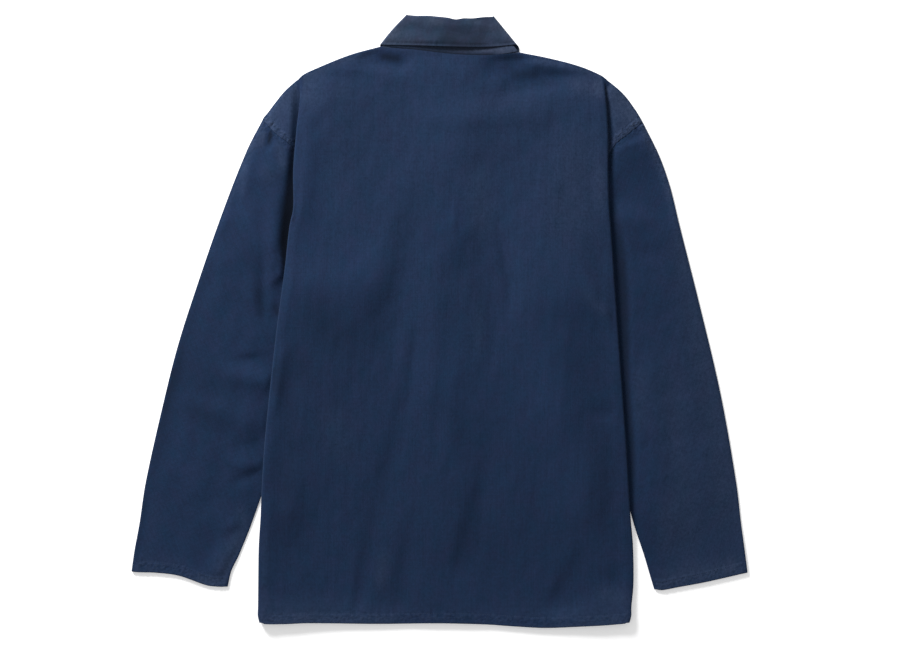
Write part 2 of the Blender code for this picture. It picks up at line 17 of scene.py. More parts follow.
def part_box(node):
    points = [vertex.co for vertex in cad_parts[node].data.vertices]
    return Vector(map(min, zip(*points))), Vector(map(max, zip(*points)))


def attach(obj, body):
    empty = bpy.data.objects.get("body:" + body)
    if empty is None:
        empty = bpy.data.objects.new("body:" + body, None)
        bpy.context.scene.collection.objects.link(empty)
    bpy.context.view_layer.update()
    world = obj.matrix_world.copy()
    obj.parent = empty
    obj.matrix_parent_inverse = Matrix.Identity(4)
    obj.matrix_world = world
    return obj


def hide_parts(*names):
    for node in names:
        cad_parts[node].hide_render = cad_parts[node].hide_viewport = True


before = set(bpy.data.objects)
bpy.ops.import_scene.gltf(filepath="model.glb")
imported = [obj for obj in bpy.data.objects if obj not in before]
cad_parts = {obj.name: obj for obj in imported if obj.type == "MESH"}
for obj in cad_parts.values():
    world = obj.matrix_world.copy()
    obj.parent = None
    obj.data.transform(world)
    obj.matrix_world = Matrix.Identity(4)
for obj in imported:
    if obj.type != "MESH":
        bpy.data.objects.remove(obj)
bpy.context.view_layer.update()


# ---------------------------------------------------------------- the back
# One piece of washed cotton with no yoke, made as a thin shell with soft ridges and troughs.
# Its sides are turned under over the sleeves, its top edge rolls over the shoulders on to the
# front, and its hem is turned up and stitched.

MM = 0.001
CLOTH = 0.7                 # thickness of the cloth
PITCH = 1.3                 # from one layer of cloth to the next
HALF_PITCH = PITCH / 2
LOWEST = 0.5                # middle of the lowest layer, above the surface
FOLD_RADIUS = 1.5 * PITCH   # body's folded sides
SLEEVE_LAYERS = 2 * PITCH

SIDES = (-1, 1)             # left and right
CENTRE_X = 12
HEM_Y = -400
NECK_SHARE = 0.46           # part of the top edge, from centre to side, taken by the neck
UNDERARM_ROW = 0.35         # share of the way down at which the armhole ends
SHOULDER_TURN = 12          # back cloth that turns over the shoulder on to the front

SIDE_FOLD = (
    # y, left x, right x
    (326, -184, 218), (250, -191, 223.5), (200, -195, 223.5), (150, -195, 225), (125, -200, 227),
    (75, -205.5, 230.5), (50, -208.7, 232), (30, -211.5, 233.5), (-20, -218, 237),
    (-158, -232.5, 247), (-225, -236.8, 251), (-260, -238.2, 253.2), (-300, -240.8, 256.6),
    (-350, -241.6, 257.2), (-380, -241.8, 254.4), (-391, -242.0, 254.2), (-400, -240.0, 252.0),
)
TURN_UNDER = (
    # share of the way down, width
    (0.0, 5), (0.35, 68), (0.6, 43), (0.8, 25), (1.0, 10),
)
NECK_SEAM = (
    # share across, x, y
    (0.0, -78, 363.5), (0.2, -40, 361), (0.4, -5, 357), (0.55, 24, 354), (0.75, 60, 353),
    (1.0, 105, 355.3),
)
SHOULDER = (
    # station, left x, left y, right x, right y
    (0.0, -78, 363.5, 105, 355.3), (0.4, -120, 352, 146, 347.3), (0.75, -160, 336.4, 188, 336.2),
    (1.0, -185, 325.3, 219, 323.4), (1.35, -206, 307, 241, 305.5), (1.7, -224, 282, 258.2, 282),
    (2.0, -235, 267, 268.5, 264),
)
HEM = (
    # x, y
    (-242, -399.4), (-232, -401.6), (-205, -401.8), (-180, -400.7), (-150, -400.9), (-80, -401.8),
    (0, -400.9), (60, -402.4), (100, -405), (140, -406.8), (180, -405.1), (220, -402.8),
    (238, -401.2), (250, -399.8),
)
ARMHOLE = (
    # station, left x, left y, right x, right y
    (0.0, -235, 267, 268.5, 264), (0.12, -219, 250, 250, 249), (0.27, -193, 227, 230, 231),
    (0.6, -165, 150, 190, 155), (1.0, -147, 70, 168, 70),
)

# How the body settles over the sleeves, the buttons and the collar's front leaf
SIDE_RAMP = 90              # cloth between the middle of the body and the turned-under sides
SIDE_MARGIN = 14
SLEEVE_END_Y = (-245, -320)     # the sides come down below the sleeves
BUTTON_RIDGE = 80           # half width of the rise over the row of buttons
BUTTON_RISE = 3.0
RIDGE_TOP_Y = (262, 305)
RIDGE_BOTTOM_Y = (-262, -330)
LAP_SLOPE = (18, 60)        # from the centre, where the laps' rise starts to end and has ended
LAP_TOP_Y = (290, 345)
NECK_RISE_CENTRE_Y = 345
NECK_RISE = (105, 180)      # the same for the rise over the collar's front leaf


def ease(value):
    """A soft step from 0 to 1."""
    share = np.clip(value, 0, 1)
    return share * share * (3 - 2 * share)


def between(value, start, end):
    """How far value has gone from start to end, as a soft step."""
    return ease((value - start) / (end - start))


def bump(distance, width):
    """A soft ridge of height 1 that is about twice as wide as width."""
    return np.exp(-(distance / width) ** 2)


def lerp(start, end, share):
    return start + (end - start) * share


def curve(table, station):
    """Smooth curve through a table's rows: first column the station, the rest its values."""
    rows = np.array(sorted(table), dtype=float)
    places = rows[:, 0]
    values = rows[:, 1:].T
    slopes = np.diff(values) / np.diff(places)
    inner = (values[:, 2:] - values[:, :-2]) / (places[2:] - places[:-2])
    slopes = np.hstack([slopes[:, :1], inner, slopes[:, -1:]])
    station = np.clip(station, places[0], places[-1])
    low = np.clip(np.searchsorted(places, station, side="right") - 1, 0, len(places) - 2)
    span = places[low + 1] - places[low]
    share = (station - places[low]) / span
    point = values[:, low] * (1 + 2 * share) * (1 - share) ** 2
    point += values[:, low + 1] * share ** 2 * (3 - 2 * share)
    point += span * slopes[:, low] * share * (1 - share) ** 2
    point += span * slopes[:, low + 1] * share ** 2 * (share - 1)
    return point


def side_curve(table, station, side):
    """One side's values from a table that holds the left side's columns, then the right's."""
    values = curve(table, station)
    half = len(values) // 2
    return values[:half] if side < 0 else values[half:]


def straight(start, end, share):
    """Points on the straight line between two single points."""
    lead = np.reshape(start, (-1,) + (1,) * np.ndim(share))
    return lead + np.multiply.outer(end - start, share)


def patch(top, bottom, near, far, across, down):
    """Plan points inside four edges, each a function of its own share."""
    ruled = lerp(top(across), bottom(across), down) + lerp(near(down), far(down), across)
    first = 0 * across
    upper = lerp(top(first), top(first + 1), across)
    lower = lerp(bottom(first), bottom(first + 1), across)
    return ruled - lerp(upper, lower, down)


def shoulder(side, station):
    return side_curve(SHOULDER, station, side)


FOLD_TOP = {side: shoulder(side, 1) for side in SIDES}      # where the shoulder meets the side
SIDE_LENGTH = {side: FOLD_TOP[side][1] - HEM_Y for side in SIDES}


def side_edge(side, y):
    """Where the folded side shows its outermost line."""
    return side_curve(SIDE_FOLD, y, side)[0]


def side_fold(side, down):
    """Start of the rounded fold at the body's side."""
    y = FOLD_TOP[side][1] - down * SIDE_LENGTH[side]
    return np.array([side_edge(side, y) - side * (FOLD_RADIUS + LOWEST), y])


def turned_edge(side, down):
    """Inner edge of the cloth that is turned under."""
    point = side_fold(side, down)
    point[0] = point[0] - side * curve(TURN_UNDER, down)[0]
    return point


def past_neck(across):
    """0 along the neck seam, 1 at the shoulder's end."""
    return np.clip((np.abs(across) - NECK_SHARE) / (1 - NECK_SHARE), 0, 1)


def body_top(across):
    """Top edge of the back from the left side fold (-1) to the right one (1)."""
    station = past_neck(across)
    point = np.where(across < 0, shoulder(-1, station), shoulder(1, station))
    point[0] -= np.sign(across) * (FOLD_RADIUS + LOWEST) * station
    neck = curve(NECK_SEAM, (np.clip(across / NECK_SHARE, -1, 1) + 1) / 2)
    return np.where(np.abs(across) <= NECK_SHARE, neck, point)


def hem_line(across):
    reach = np.where(across < 0, side_fold(-1, 1)[0], side_fold(1, 1)[0])
    x = CENTRE_X + np.abs(across) * (reach - CENTRE_X)
    return np.array([x, curve(HEM, x)[0]])


def main_leaf(across, down):
    """Plan points on the part of the back between its folded sides."""
    return patch(
        lambda share: body_top(2 * share - 1),
        lambda share: hem_line(2 * share - 1),
        lambda share: side_fold(-1, share),
        lambda share: side_fold(1, share),
        (across + 1) / 2,
        down,
    )


def shoulder_cap(side, across, down):
    """Plan points on the body cloth between the inner fold and the sleeve seam."""
    head = turned_edge(side, 0) - FOLD_TOP[side]
    foot = turned_edge(side, UNDERARM_ROW)
    return patch(
        lambda share: shoulder(side, 1 + share) + np.multiply.outer(head, (1 - share) ** 2),
        lambda share: straight(foot, side_curve(ARMHOLE, 1, side), share),
        lambda share: turned_edge(side, share * UNDERARM_ROW),
        lambda share: side_curve(ARMHOLE, share, side),
        across,
        down / UNDERARM_ROW,
    )


def sides_base(y):
    """Underside of the turned-under cloth: on the sleeves, then down on the surface."""
    return SLEEVE_LAYERS * (1 - between(y, *SLEEVE_END_Y))


def side_weight(x, y):
    """1 over the turned-under sides, 0 in the middle of the body."""
    weights = []
    for side in SIDES:
        down = np.clip((FOLD_TOP[side][1] - y) / SIDE_LENGTH[side], 0, 1)
        inner = turned_edge(side, down)[0] - side * SIDE_MARGIN
        weights.append(1 - ease(side * (inner - x) / SIDE_RAMP))
    return np.where(x < CENTRE_X, *weights)


def lap_share(x, y):
    """1 where the two fronts lie on each other."""
    lapped = 1 - between(np.abs(x - CENTRE_X), *LAP_SLOPE)
    return lapped * (1 - between(y, *LAP_TOP_Y))


def back_height(x, y):
    """Middle of the back's cloth where it lies down on everything under it."""
    ridge = 0.5 + 0.5 * np.cos(np.pi * np.minimum(np.abs(x - CENTRE_X) / BUTTON_RIDGE, 1))
    ridge = ridge * (1 - between(y, *RIDGE_TOP_Y)) * (1 - between(y, *RIDGE_BOTTOM_Y))
    neck = 1 - between(np.hypot(x - CENTRE_X, y - NECK_RISE_CENTRE_Y), *NECK_RISE)
    middle = BUTTON_RISE * ridge + PITCH * neck * (1 - ridge)
    base = lerp(middle, sides_base(y) + 2 * PITCH, side_weight(x, y))
    return base + PITCH * (1 + lap_share(x, y)) + LOWEST


def turn_points(centre, outward, middle, radius, share):
    """Points on a half round fold, from its top (0) to its bottom (1)."""
    angle = np.pi * share
    x = centre[0] + outward * radius * np.sin(angle)
    return np.array([x, centre[1] + 0 * x, middle + radius * np.cos(angle)])


# The body's cloth has five leaves: its middle, then four round each folded side to the sleeve
MAIN, OUTER_FOLD, TURNED_UNDER, INNER_FOLD, CAP = range(5)


def on_side(side, leaf, share, down, depth):
    """Points on one of the leaves round a folded side, depth to the inside of the back's cloth."""
    if leaf == OUTER_FOLD:
        centre = side_fold(side, down)
        middle = sides_base(centre[1]) + FOLD_RADIUS + LOWEST
        return turn_points(centre, side, middle, FOLD_RADIUS - depth, share)
    if leaf == TURNED_UNDER:
        plan = lerp(side_fold(side, down), turned_edge(side, down), share)
        return np.array([*plan, sides_base(plan[1]) + LOWEST + depth])
    if leaf == INNER_FOLD:
        middle = SLEEVE_LAYERS + LOWEST - HALF_PITCH
        return turn_points(turned_edge(side, down), -side, middle, HALF_PITCH + depth, share)
    plan = shoulder_cap(side, share, down)
    return np.array([*plan, PITCH + LOWEST - depth + 0 * plan[0]])


# The soft shape of the cloth as it lies. A trough is a crease with a height below 0.
BACK_LOFT = (
    # y, height
    (-400, 2.2), (-340, 1.6), (-200, 2.8), (0, 4.4), (400, 4.4),
)
SIDE_LOFT = (
    # y, height at the left fold, at the right fold
    (330, 0.8, 3.0), (250, 3.4, 2.8), (80, 4.6, 1.8), (-50, 5.2, 1.0), (-200, 5.0, 1.0),
    (-300, 4.0, 0.6), (-400, 2.4, 1.4),
)
TOP_LOFT = (
    # x, height of the top edge
    (-184, 0.9), (-130, 2.2), (-100, 2.4), (-75, 1.0), (-40, 1.0), (0, 1.5), (60, 2.8), (95, 4.4),
    (130, 3.6), (175, 2.4), (218, 0.9),
)
SIDE_RIDGE = (8, 10, 1.3)       # distance in from the folded side, half width, height
HEM_RISE = 3.0                  # the hem lies higher than the cloth above it
BACK_CREASES = (
    # x and y at one end, x and y at the other, sideways bow, half width to the left and to the
    # right on the way there, height
    (-98, 349, -42, 341, 1, 12, 12, -5.4), (-150, 323, -100, 323, 0, 7, 15, -1.3),
    (62, 330, 112, 344, 0, 20, 14, -4.6), (106, 344, 180, 336, 1, 6, 7, 2.2),
    (86, 309, 166, 320, -1, 15, 15, -5.2), (0, 266, 148, 276, 2, 22, 15, 2.2),
    (5, 232, 96, 240, 3, 30, 22, 1.4), (-184, 130, -170, 250, 0, 9, 15, 2.6),
    (-176, 262, -158, 292, 0, 20, 14, 1.2), (-82, 60, -45, 200, 0, 24, 22, 2.0),
    (-88, 22, -66, 90, 2, 28, 13, 1.4), (-186, 44, -84, 52, 4, 34, 55, 5.6),
    (4, 78, 30, 128, 2, 18, 24, 3.0), (19, 122, 19, 158, 0, 5, 4, 1.0),
    (94, 18, 80, 118, 2, 8, 16, -2.6), (112, 26, 178, 40, -3, 55, 38, 5.4),
    (194, 52, 226, 2, 0, 8, 8, 2.6), (-219, -112, -208, -38, 0, 9, 10, 2.6),
    (-186, -165, -184, -95, 0, 14, 16, 2.0), (-197, -270, -193, -190, 0, 12, 14, 2.6),
    (-84, -190, -52, -30, 3, 40, 10, 2.0), (-50, -110, -40, 10, 1, 10, 6, 1.4),
    (-16, -124, -4, 52, 2, 26, 14, 2.4), (12, -176, 18, -58, 2, 18, 13, 2.2),
    (66, -64, 76, 4, 0, 8, 8, -0.8), (150, -152, 164, -8, 3, 60, 28, 4.8),
    (203, -122, 229, -123, 0, 6, 7, -2.4), (196, -262, 200, -176, 0, 26, 18, 2.2),
    (96, -286, 112, -170, 3, 30, 20, 1.8), (-93, -268, -60, -150, 2, 19, 20, -1.9),
    (-110, -380, -95, -292, 1, 7, 11, -2.8), (-54, -374, -43, -288, 1, 8, 14, -2.2),
    (26, -334, 54, -214, 2, 11, 20, -3.0), (150, -380, 193, -316, 2, 11, 24, -4.2),
    (194, -349, 236, -336, 0, 10, 20, -2.6),
)

# Patches of painted light (above 0) and painted shade (below 0) where the back's folds are lit
# or shaded: rows like those of the creases, with the amount in place of the height.
BACK_PAINTED_LIGHT_AND_SHADE = (
    (-80, 352, -52, 348, 0, 6, 6, -0.85), (80, 350, 112, 351, 0, 6, 6, -0.55),
    (84, 338, 94, 338, 0, 7, 7, -0.3), (96, 327, 128, 330, 0, 8, 9, -0.55),
    (-136, 306, -126, 306, 0, 14, 14, 0.2), (214, 205, 213, 150, 0, 9, 9, 0.3),
    (-198, 168, -198, 132, 0, 6, 6, -0.9), (-232, -270, -234, -380, 0, 8, 8, 0.2),
    (-208, -200, -210, -290, 0, 9, 9, -0.15), (-150, -397, -50, -397, 0, 5, 5, 0.22),
    (100, -401, 200, -400, 0, 5, 5, -0.25), (212, -362, 246, -368, 0, 16, 10, 0.35),
    (-228, -393, -60, -393, 0, 6, 5, 0.15), (60, 328, 84, 330, 0, 8, 8, -0.15),
    (140, 328, 190, 329, 0, 5, 5, -0.3), (60, 338, 76, 344, 0, 6, 6, -0.3),
    (-168, 250, -175, 80, 0, 18, 18, -0.12), (-188, -40, -172, -90, 0, 18, 18, -0.2),
    (0, 112, -14, 96, 0, 16, 16, -0.12), (52, 20, 50, -40, 0, 10, 10, 0.2),
    (40, 284, 110, 290, 0, 14, 14, 0.12), (52, -230, 38, -320, 0, 10, 10, -0.1),
    (-176, 322, -172, 292, 0, 22, 22, 0.4), (178, 316, 206, 306, 0, 13, 13, 0.5),
    (210, 318, 214, 300, 0, 8, 8, 0.6), (-220, -50, -216, -96, 0, 9, 9, -0.35),
    (-176, 24, -122, -34, 0, 30, 30, -0.25), (-200, -60, -196, -250, 0, 12, 14, -0.2),
    (-122, 92, -104, 30, 0, 20, 20, -0.1), (20, 150, 14, 88, 0, 14, 16, -0.2),
    (185, 240, 168, 120, 0, 38, 34, 0.3), (52, 200, 56, 120, 0, 16, 16, 0.25),
    (172, 10, 160, -60, 0, 26, 26, -0.15), (190, 38, 222, 8, 0, 8, 8, 0.3),
    (206, -150, 214, -260, 0, 26, 20, -0.15), (14, -110, 20, -160, 0, 12, 12, -0.12),
    (-70, -190, -84, -260, 0, 12, 12, -0.12), (-146, -120, -128, -180, 0, 22, 22, 0.2),
    (-92, -250, -104, -330, 0, 8, 8, -0.12), (-74, -310, -80, -352, 0, 9, 9, 0.4),
    (32, -262, 26, -330, 0, 8, 14, -0.16), (176, -316, 150, -368, 0, 9, 10, -0.16),
    (204, -330, 232, -344, 0, 8, 8, -0.12),
)


def creases(table, x, y):
    """Height that creases add. Each is bowed between its ends and fades out past them."""
    height = 0 * x
    for x1, y1, x2, y2, bow, left, right, rise in table:
        length = math.hypot(x2 - x1, y2 - y1)
        unit_x = (x2 - x1) / length
        unit_y = (y2 - y1) / length
        along = ((x - x1) * unit_x + (y - y1) * unit_y) / length
        from_middle = np.abs(2 * along - 1)
        past_end = np.maximum(from_middle - 0.55, 0) * length / 2
        off = (x - x1) * unit_y - (y - y1) * unit_x - bow * (1 - np.minimum(from_middle, 1.5) ** 2)
        across = bump(off, np.where(off > 0, right, left))
        height = height + rise * across * bump(past_end, (left + right) / 4 + 0.22 * length)
    return height


def waves(x, y, seed, shortest, longest, count=24):
    """Smooth unevenness between about -1 and 1, from waves laid in every direction."""
    draw = np.random.default_rng(seed)
    total = 0 * x
    for _ in range(count):
        length = shortest * (longest / shortest) ** draw.random()
        angle = draw.random() * math.pi
        phase = draw.random() * 2 * math.pi
        turn = x * math.cos(angle) + y * math.sin(angle)
        total = total + np.sin(2 * math.pi * turn / length + phase)
    return total / math.sqrt(count)


def ripples(along, seed, shortest, longest, count=9):
    """Uneven waves between about -1 and 1 along one line."""
    draw = np.random.default_rng(seed)
    total = 0 * along
    for length in np.geomspace(shortest, longest, count):
        total = total + np.sin(2 * math.pi * along / length + draw.random() * 2 * math.pi)
    return total / math.sqrt(count)


def puckers(along, seed):
    """Uneven little waves along a row of stitches, stronger here and weaker there."""
    return ripples(along, seed, 4, 11) * (0.6 + 0.4 * ripples(along, seed + 100, 40, 120))


def distance_to(line, x, y):
    """Shortest distance in plan from each point to a line of points."""
    nearest = np.full(np.shape(x), np.inf)
    for (x1, y1), (step_x, step_y) in zip(line.T[:-1], np.diff(line).T):
        share = ((x - x1) * step_x + (y - y1) * step_y) / (step_x ** 2 + step_y ** 2)
        share = np.clip(share, 0, 1)
        nearest = np.minimum(nearest, np.hypot(x - x1 - share * step_x, y - y1 - share * step_y))
    return nearest


def hem_distance(x, y):
    """How far a point lies above the hem's edge."""
    return y - curve(HEM, x)[0]


TOP_LINE = body_top(np.linspace(-1, 1, 81))
HEM_STITCH = 12.5           # stitches above the hem's edge
STITCH_GROOVE = 0.9         # half width of the dip that they pull


def stitched_edge(from_edge, stitch, along, seed):
    """Height at a turned and stitched edge: a fuller band, a dip at the stitches, and puckers."""
    band = 0.35 * (1 - between(from_edge, stitch - 1, stitch + 2))
    dip = -0.3 * bump(from_edge - stitch, STITCH_GROOVE)
    drawn_in = 0.36 * puckers(along, seed) * bump(from_edge - stitch, 5)
    edge = 0.25 * puckers(along, seed + 1) * bump(from_edge, 5)
    return band + dip + drawn_in + edge


def above_nothing(height):
    """Keeps a height above 0 with a soft turn, as cloth that can only sink so far."""
    return 0.5 * (height + np.sqrt(height * height + 0.7))


def toward_ends(x):
    """Nearly 0 in the middle of the hem and about 1 near its ends."""
    return 0.6 - 0.5 * np.cos((x - CENTRE_X) / 75)


def back_relief(x, y):
    """How far the back stands off what it lies on."""
    from_side = np.minimum(x - side_edge(-1, y), side_edge(1, y) - x)
    from_hem = hem_distance(x, y)
    from_top = distance_to(TOP_LINE, x, y)
    at_side = np.where(x < CENTRE_X, *curve(SIDE_LOFT, y)) * ease(from_top / 40)
    middle = lerp(curve(TOP_LOFT, x)[0], curve(BACK_LOFT, y)[0], ease(from_top / 28))
    loft = lerp(at_side, middle, ease(from_side / 45))
    loft = loft + HEM_RISE * toward_ends(x) * (1 - ease(from_hem / 45))
    inset, width, rise = SIDE_RIDGE
    loft = loft + rise * bump(from_side - inset, width) * ease(from_top / 30)
    uneven = 0.4 * waves(x, 0.6 * y, 3, 45, 140) + 0.22 * waves(x, 0.45 * y, 4, 12, 40)
    uneven = uneven + 0.05 * (1 - 0.7 * between(y, -60, 120)) * waves(x, 0.6 * y, 5, 7, 16)
    folds = creases(BACK_CREASES, x, y) + uneven
    folds = folds * ease(from_side / 14) * ease((from_top + 3) / 12) * ease((from_hem - 4) / 20)
    stitched = stitched_edge(from_hem, HEM_STITCH, x, 7) * ease(from_side / 8)
    return above_nothing(loft + folds) + stitched


# The sleeves and the shoulder caps beside the folded sides: rounded at the outline, full in
# the middle, and down in a hollow next to the fold.
SLEEVE_LEFT = (
    # station, overarm x, overarm y, underarm x, underarm y
    (0.0, -235, 267, -147, 70), (0.07, -256, 226, -155, 40), (0.22, -291.2, 136, -175, -23),
    (0.4, -328.3, 28, -197, -99), (0.5, -347.4, -32.5, -209.5, -141),
    (0.6, -363, -93, -222, -183), (0.8, -390, -213, -251, -268), (0.9, -399, -273, -268, -310),
    (0.955, -404.4, -305, -279, -332), (1.0, -408.2, -332.5, -283.8, -352.2),
)
SLEEVE_RIGHT = (
    # station, overarm x, overarm y, underarm x, underarm y
    (0.0, 268.5, 264, 168, 70), (0.07, 290.4, 219.5, 176, 40), (0.14, 305.3, 177, 184, 9),
    (0.22, 317, 129, 193, -24), (0.4, 344, 22, 213, -100), (0.6, 372, -97, 236, -186),
    (0.8, 393, -216, 259, -271), (0.9, 400, -276, 273, -313), (1.0, 407, -334, 286.4, -355.8),
)
SLEEVE = {-1: SLEEVE_LEFT, 1: SLEEVE_RIGHT}
HOLLOW = (
    # y, left fold: width of the hollow beside it, depth of the painted shade in it, rise of the
    # sleeve past it, then the same for the right fold
    (330, 10, 0.1, 6.6, 10, 0.0, 4.2), (300, 12, 0.2, 6.6, 11, 0.2, 4.2),
    (250, 10, 0.5, 6.6, 14, 0.75, 4.2), (225, 10, 0.6, 6.6, 15, 0.65, 4.2),
    (200, 11, 0.8, 6.6, 14, 0.35, 4.2), (175, 15, 0.9, 6.6, 14, 0.1, 4.2),
    (150, 20, 1.0, 6.6, 19, 0.35, 4.4), (125, 17, 1.0, 6.5, 23, 0.45, 4.6),
    (100, 15, 1.0, 6.3, 27, 0.55, 4.8), (75, 8, 0.7, 5.2, 28, 0.6, 4.8),
    (60, 7, 0.0, 4.3, 28, 0.65, 4.8), (45, 22, 0.0, 3.9, 28, 0.65, 4.8),
    (0, 26, 0.0, 3.4, 26, 0.65, 4.8), (-50, 30, 0.0, 3.0, 22, 0.65, 4.6),
    (-100, 29, 0.0, 3.0, 20, 0.65, 4.4), (-150, 28, 0.0, 3.0, 21, 0.6, 4.2),
    (-200, 24, 0.0, 3.0, 19, 0.5, 4.2), (-250, 20, 0.0, 3.0, 12, 0.3, 4.2),
    (-400, 20, 0.0, 3.0, 5, 0.1, 4.2),
)
HOLLOW_START = {-1: 1.5, 1: 4.5}    # how far under the fold its foot lies
HOLLOW_SHADE_CORE = {-1: 1, 1: 0}         # part of the painted shade kept right beside the fold
CROWN_EDGE = 6              # quick rounding at the outline
CROWN_SLOPE = 42            # then a slow one
FOLD_HEAD_LIFT = 4.2        # cloth drawn up beside the head of the side fold
FOLD_HEAD_REACH = 26
FOLD_HEAD = {-1: 75, 1: 24}     # length over which the side fold opens from nothing
FOLD_HEAD_DIP = {-1: 1.9, 1: 1.0}
FOLD_HEAD_SHARE = 0.3       # part of the shoulder cap that the opening fold takes in
SEAM_STITCH = 7.5           # row of stitches on the body side of the armhole seam
SEAM_LENGTH = 215           # of the armhole seam that shows, from shoulder to underarm
CAP_PAINTED_LIGHT = {-1: 0.45, 1: 0.7}   # painted light on the shoulders' ends, more on the right


def outline(side):
    """Both edges of a shoulder and sleeve in plan, without the cuff: overarm and underarm."""
    share = np.linspace(0, 1, 25)
    sleeve = curve(SLEEVE[side], share)
    return np.hstack([shoulder(side, 2 * share), sleeve[:2, 1:]]), sleeve[2:]


OUTLINES = {side: outline(side) for side in SIDES}
ARMHOLE_LINES = {side: side_curve(ARMHOLE, np.linspace(0, 1, 40), side) for side in SIDES}


def past_fold(side, x, y):
    """How far a point lies out from the body's folded side."""
    return side * (x - side_edge(side, y))


def hollow_share(side, x, y):
    """0 at the body's folded side, 1 where the sleeve has risen to its full height."""
    width = side_curve(HOLLOW, y, side)[0]
    risen = np.clip((past_fold(side, x, y) + HOLLOW_START[side]) / width, 0, 1)
    return 0.6 * risen ** 1.3 + 0.4 * ease(risen)


def clear_of_fold(side, x, y):
    """0 at the body's folded side, 1 where a sleeve's creases have their full height."""
    soft = 1 - np.clip(2 * side_curve(HOLLOW, y, side)[1], 0, 1)
    return np.maximum(hollow_share(side, x, y), soft * ease((past_fold(side, x, y) + 3) / 9))


def hollow_painted_shade(side, x, y):
    """Painted shade in the hollow beside the fold: below 0 near it, 0 where the sleeve has risen."""
    depth = side_curve(HOLLOW, y, side)[1]
    core = lerp(HOLLOW_SHADE_CORE[side], 1, ease(past_fold(side, x, y) / 6))
    return depth * core * (between(hollow_share(side, x, y), 0.55, 0.97) - 1)


def from_outline(side, x, y):
    """Distance in plan to the nearer edge of a shoulder and sleeve."""
    return np.minimum(*(distance_to(line, x, y) for line in OUTLINES[side]))


def crown(side, x, y):
    """Rise of a shoulder cap or a sleeve above its flat level."""
    from_edge = from_outline(side, x, y)
    quick = 1 - (1 - np.clip(from_edge / CROWN_EDGE, 0, 1)) ** 2
    full = side_curve(HOLLOW, y, side)[2]
    height = full * lerp(quick, ease(from_edge / CROWN_SLOPE), 0.65)
    head_x, head_y = FOLD_TOP[side]
    lift = bump(x - head_x, FOLD_HEAD_REACH) * bump(y - head_y, 10 + FOLD_HEAD[side])
    return (height + lift * (FOLD_HEAD_LIFT - 0.7 * height)) * hollow_share(side, x, y)


def gathers(side, station):
    """Larger uneven waves where the armhole seam draws up the cloth on both its sides."""
    return ripples(station * SEAM_LENGTH, 30 + side, 6, 16)


def cap_relief(side, x, y, station):
    """Height of the shoulder cap, with the seam allowances of the armhole under its edge."""
    from_seam = distance_to(ARMHOLE_LINES[side], x, y)
    seam = stitched_edge(from_seam, SEAM_STITCH, station * SEAM_LENGTH, 20 + side)
    seam = seam + 0.8 * gathers(side, station) * bump(from_seam - 4, 5) - 0.8 * bump(from_seam, 2)
    uneven = 0.4 * waves(x, y, 9, 25, 70) * ease(from_seam / 20)
    return np.maximum(crown(side, x, y) + (seam + uneven) * hollow_share(side, x, y), -0.1)


def on_back(across, down):
    plan = main_leaf(across, down)
    return np.array([*plan, back_height(*plan) + back_relief(*plan)])


# The part of the way round, from the flat back to the cap, that each leaf takes as it opens
OPENED_LEAVES = {OUTER_FOLD: (0, 0.3), TURNED_UNDER: (0.3, 0.4), INNER_FOLD: (0.4, 0.5), CAP: (0.5, 1)}


def on_back_side(side, leaf, share, down, depth=0.0):
    """Points on the back's folded side. At its head the fold opens out of the flat cloth."""
    point = folded_side(side, leaf, share, down, depth)
    opening = 1 - ease(down * SIDE_LENGTH[side] / FOLD_HEAD[side])
    if leaf == CAP:
        share = share / FOLD_HEAD_SHARE
    along = lerp(*OPENED_LEAVES[leaf], share)
    start = on_back(side + 0 * down, down)
    start[2] -= depth
    end = folded_side(side, CAP, FOLD_HEAD_SHARE + 0 * down, down, depth)
    flat = lerp(start, end, np.minimum(along, 1))
    flat[2] -= FOLD_HEAD_DIP[side] * np.sin(np.pi * np.minimum(along, 1)) ** 2
    return lerp(point, flat, np.where(along < 1, opening, 0))


def folded_side(side, leaf, share, down, depth=0.0):
    """The same points where the fold is fully made."""
    point = on_side(side, leaf, share, down, depth)
    if leaf == OUTER_FOLD:
        edge = side_fold(side, down)
        point[2] += back_relief(*edge) * (0.5 + 0.5 * np.cos(np.pi * share))
    if leaf == CAP:
        point[2] += cap_relief(side, point[0], point[1], down / UNDERARM_ROW)
    return point


def unit(vector):
    return vector / np.maximum(np.hypot(*vector), 1e-9)


def square_to(line, share, step, first=0, last=1):
    """Unit vectors in plan square to a line, which is a function of its share."""
    along = line(np.clip(share + step, first, last)) - line(np.clip(share - step, first, last))
    return unit(np.array([-along[1], along[0]]))


SHOULDER_GAP = 0.6          # between the turned cloth and the front
TURN_BULGE = 1.2            # most that a shoulder's rolled edge stands out in plan


def on_shoulder_turn(side, leaf, share, turn):
    """Points on the back's cloth that turns over the shoulder: round to 1, down the front to 2."""
    down = 0 * share
    reach = np.clip(turn - 1, 0, 1) * (SHOULDER_TURN - SHOULDER_GAP) / SIDE_LENGTH[1]
    if leaf == MAIN:
        station = past_neck(share)
        back = on_back(side * share, down)
        plan = main_leaf(side * share, reach)
        front = np.array([*plan, back_height(*plan) - PITCH])
    else:
        station = 1 + share * (leaf == CAP)
        back = on_back_side(side, leaf, share, down)
        level = on_side(side, leaf, share, reach, PITCH)
        front = on_back_side(side, leaf, share, reach, PITCH)
        front[2] = np.minimum(front[2], np.maximum(level[2], LOWEST))
    angle = np.pi * np.clip(turn, 0, 1)
    half = (back - front) / 2
    bulge = np.minimum(np.sqrt((half ** 2).sum(axis=0)), TURN_BULGE)
    point = (back + front) / 2 + half * np.cos(angle)
    out = side * square_to(lambda share: shoulder(side, share), station, 0.02, 0, 2)
    point[:2] += out * bulge * np.sin(angle)
    return np.where(turn > 1, front, point)


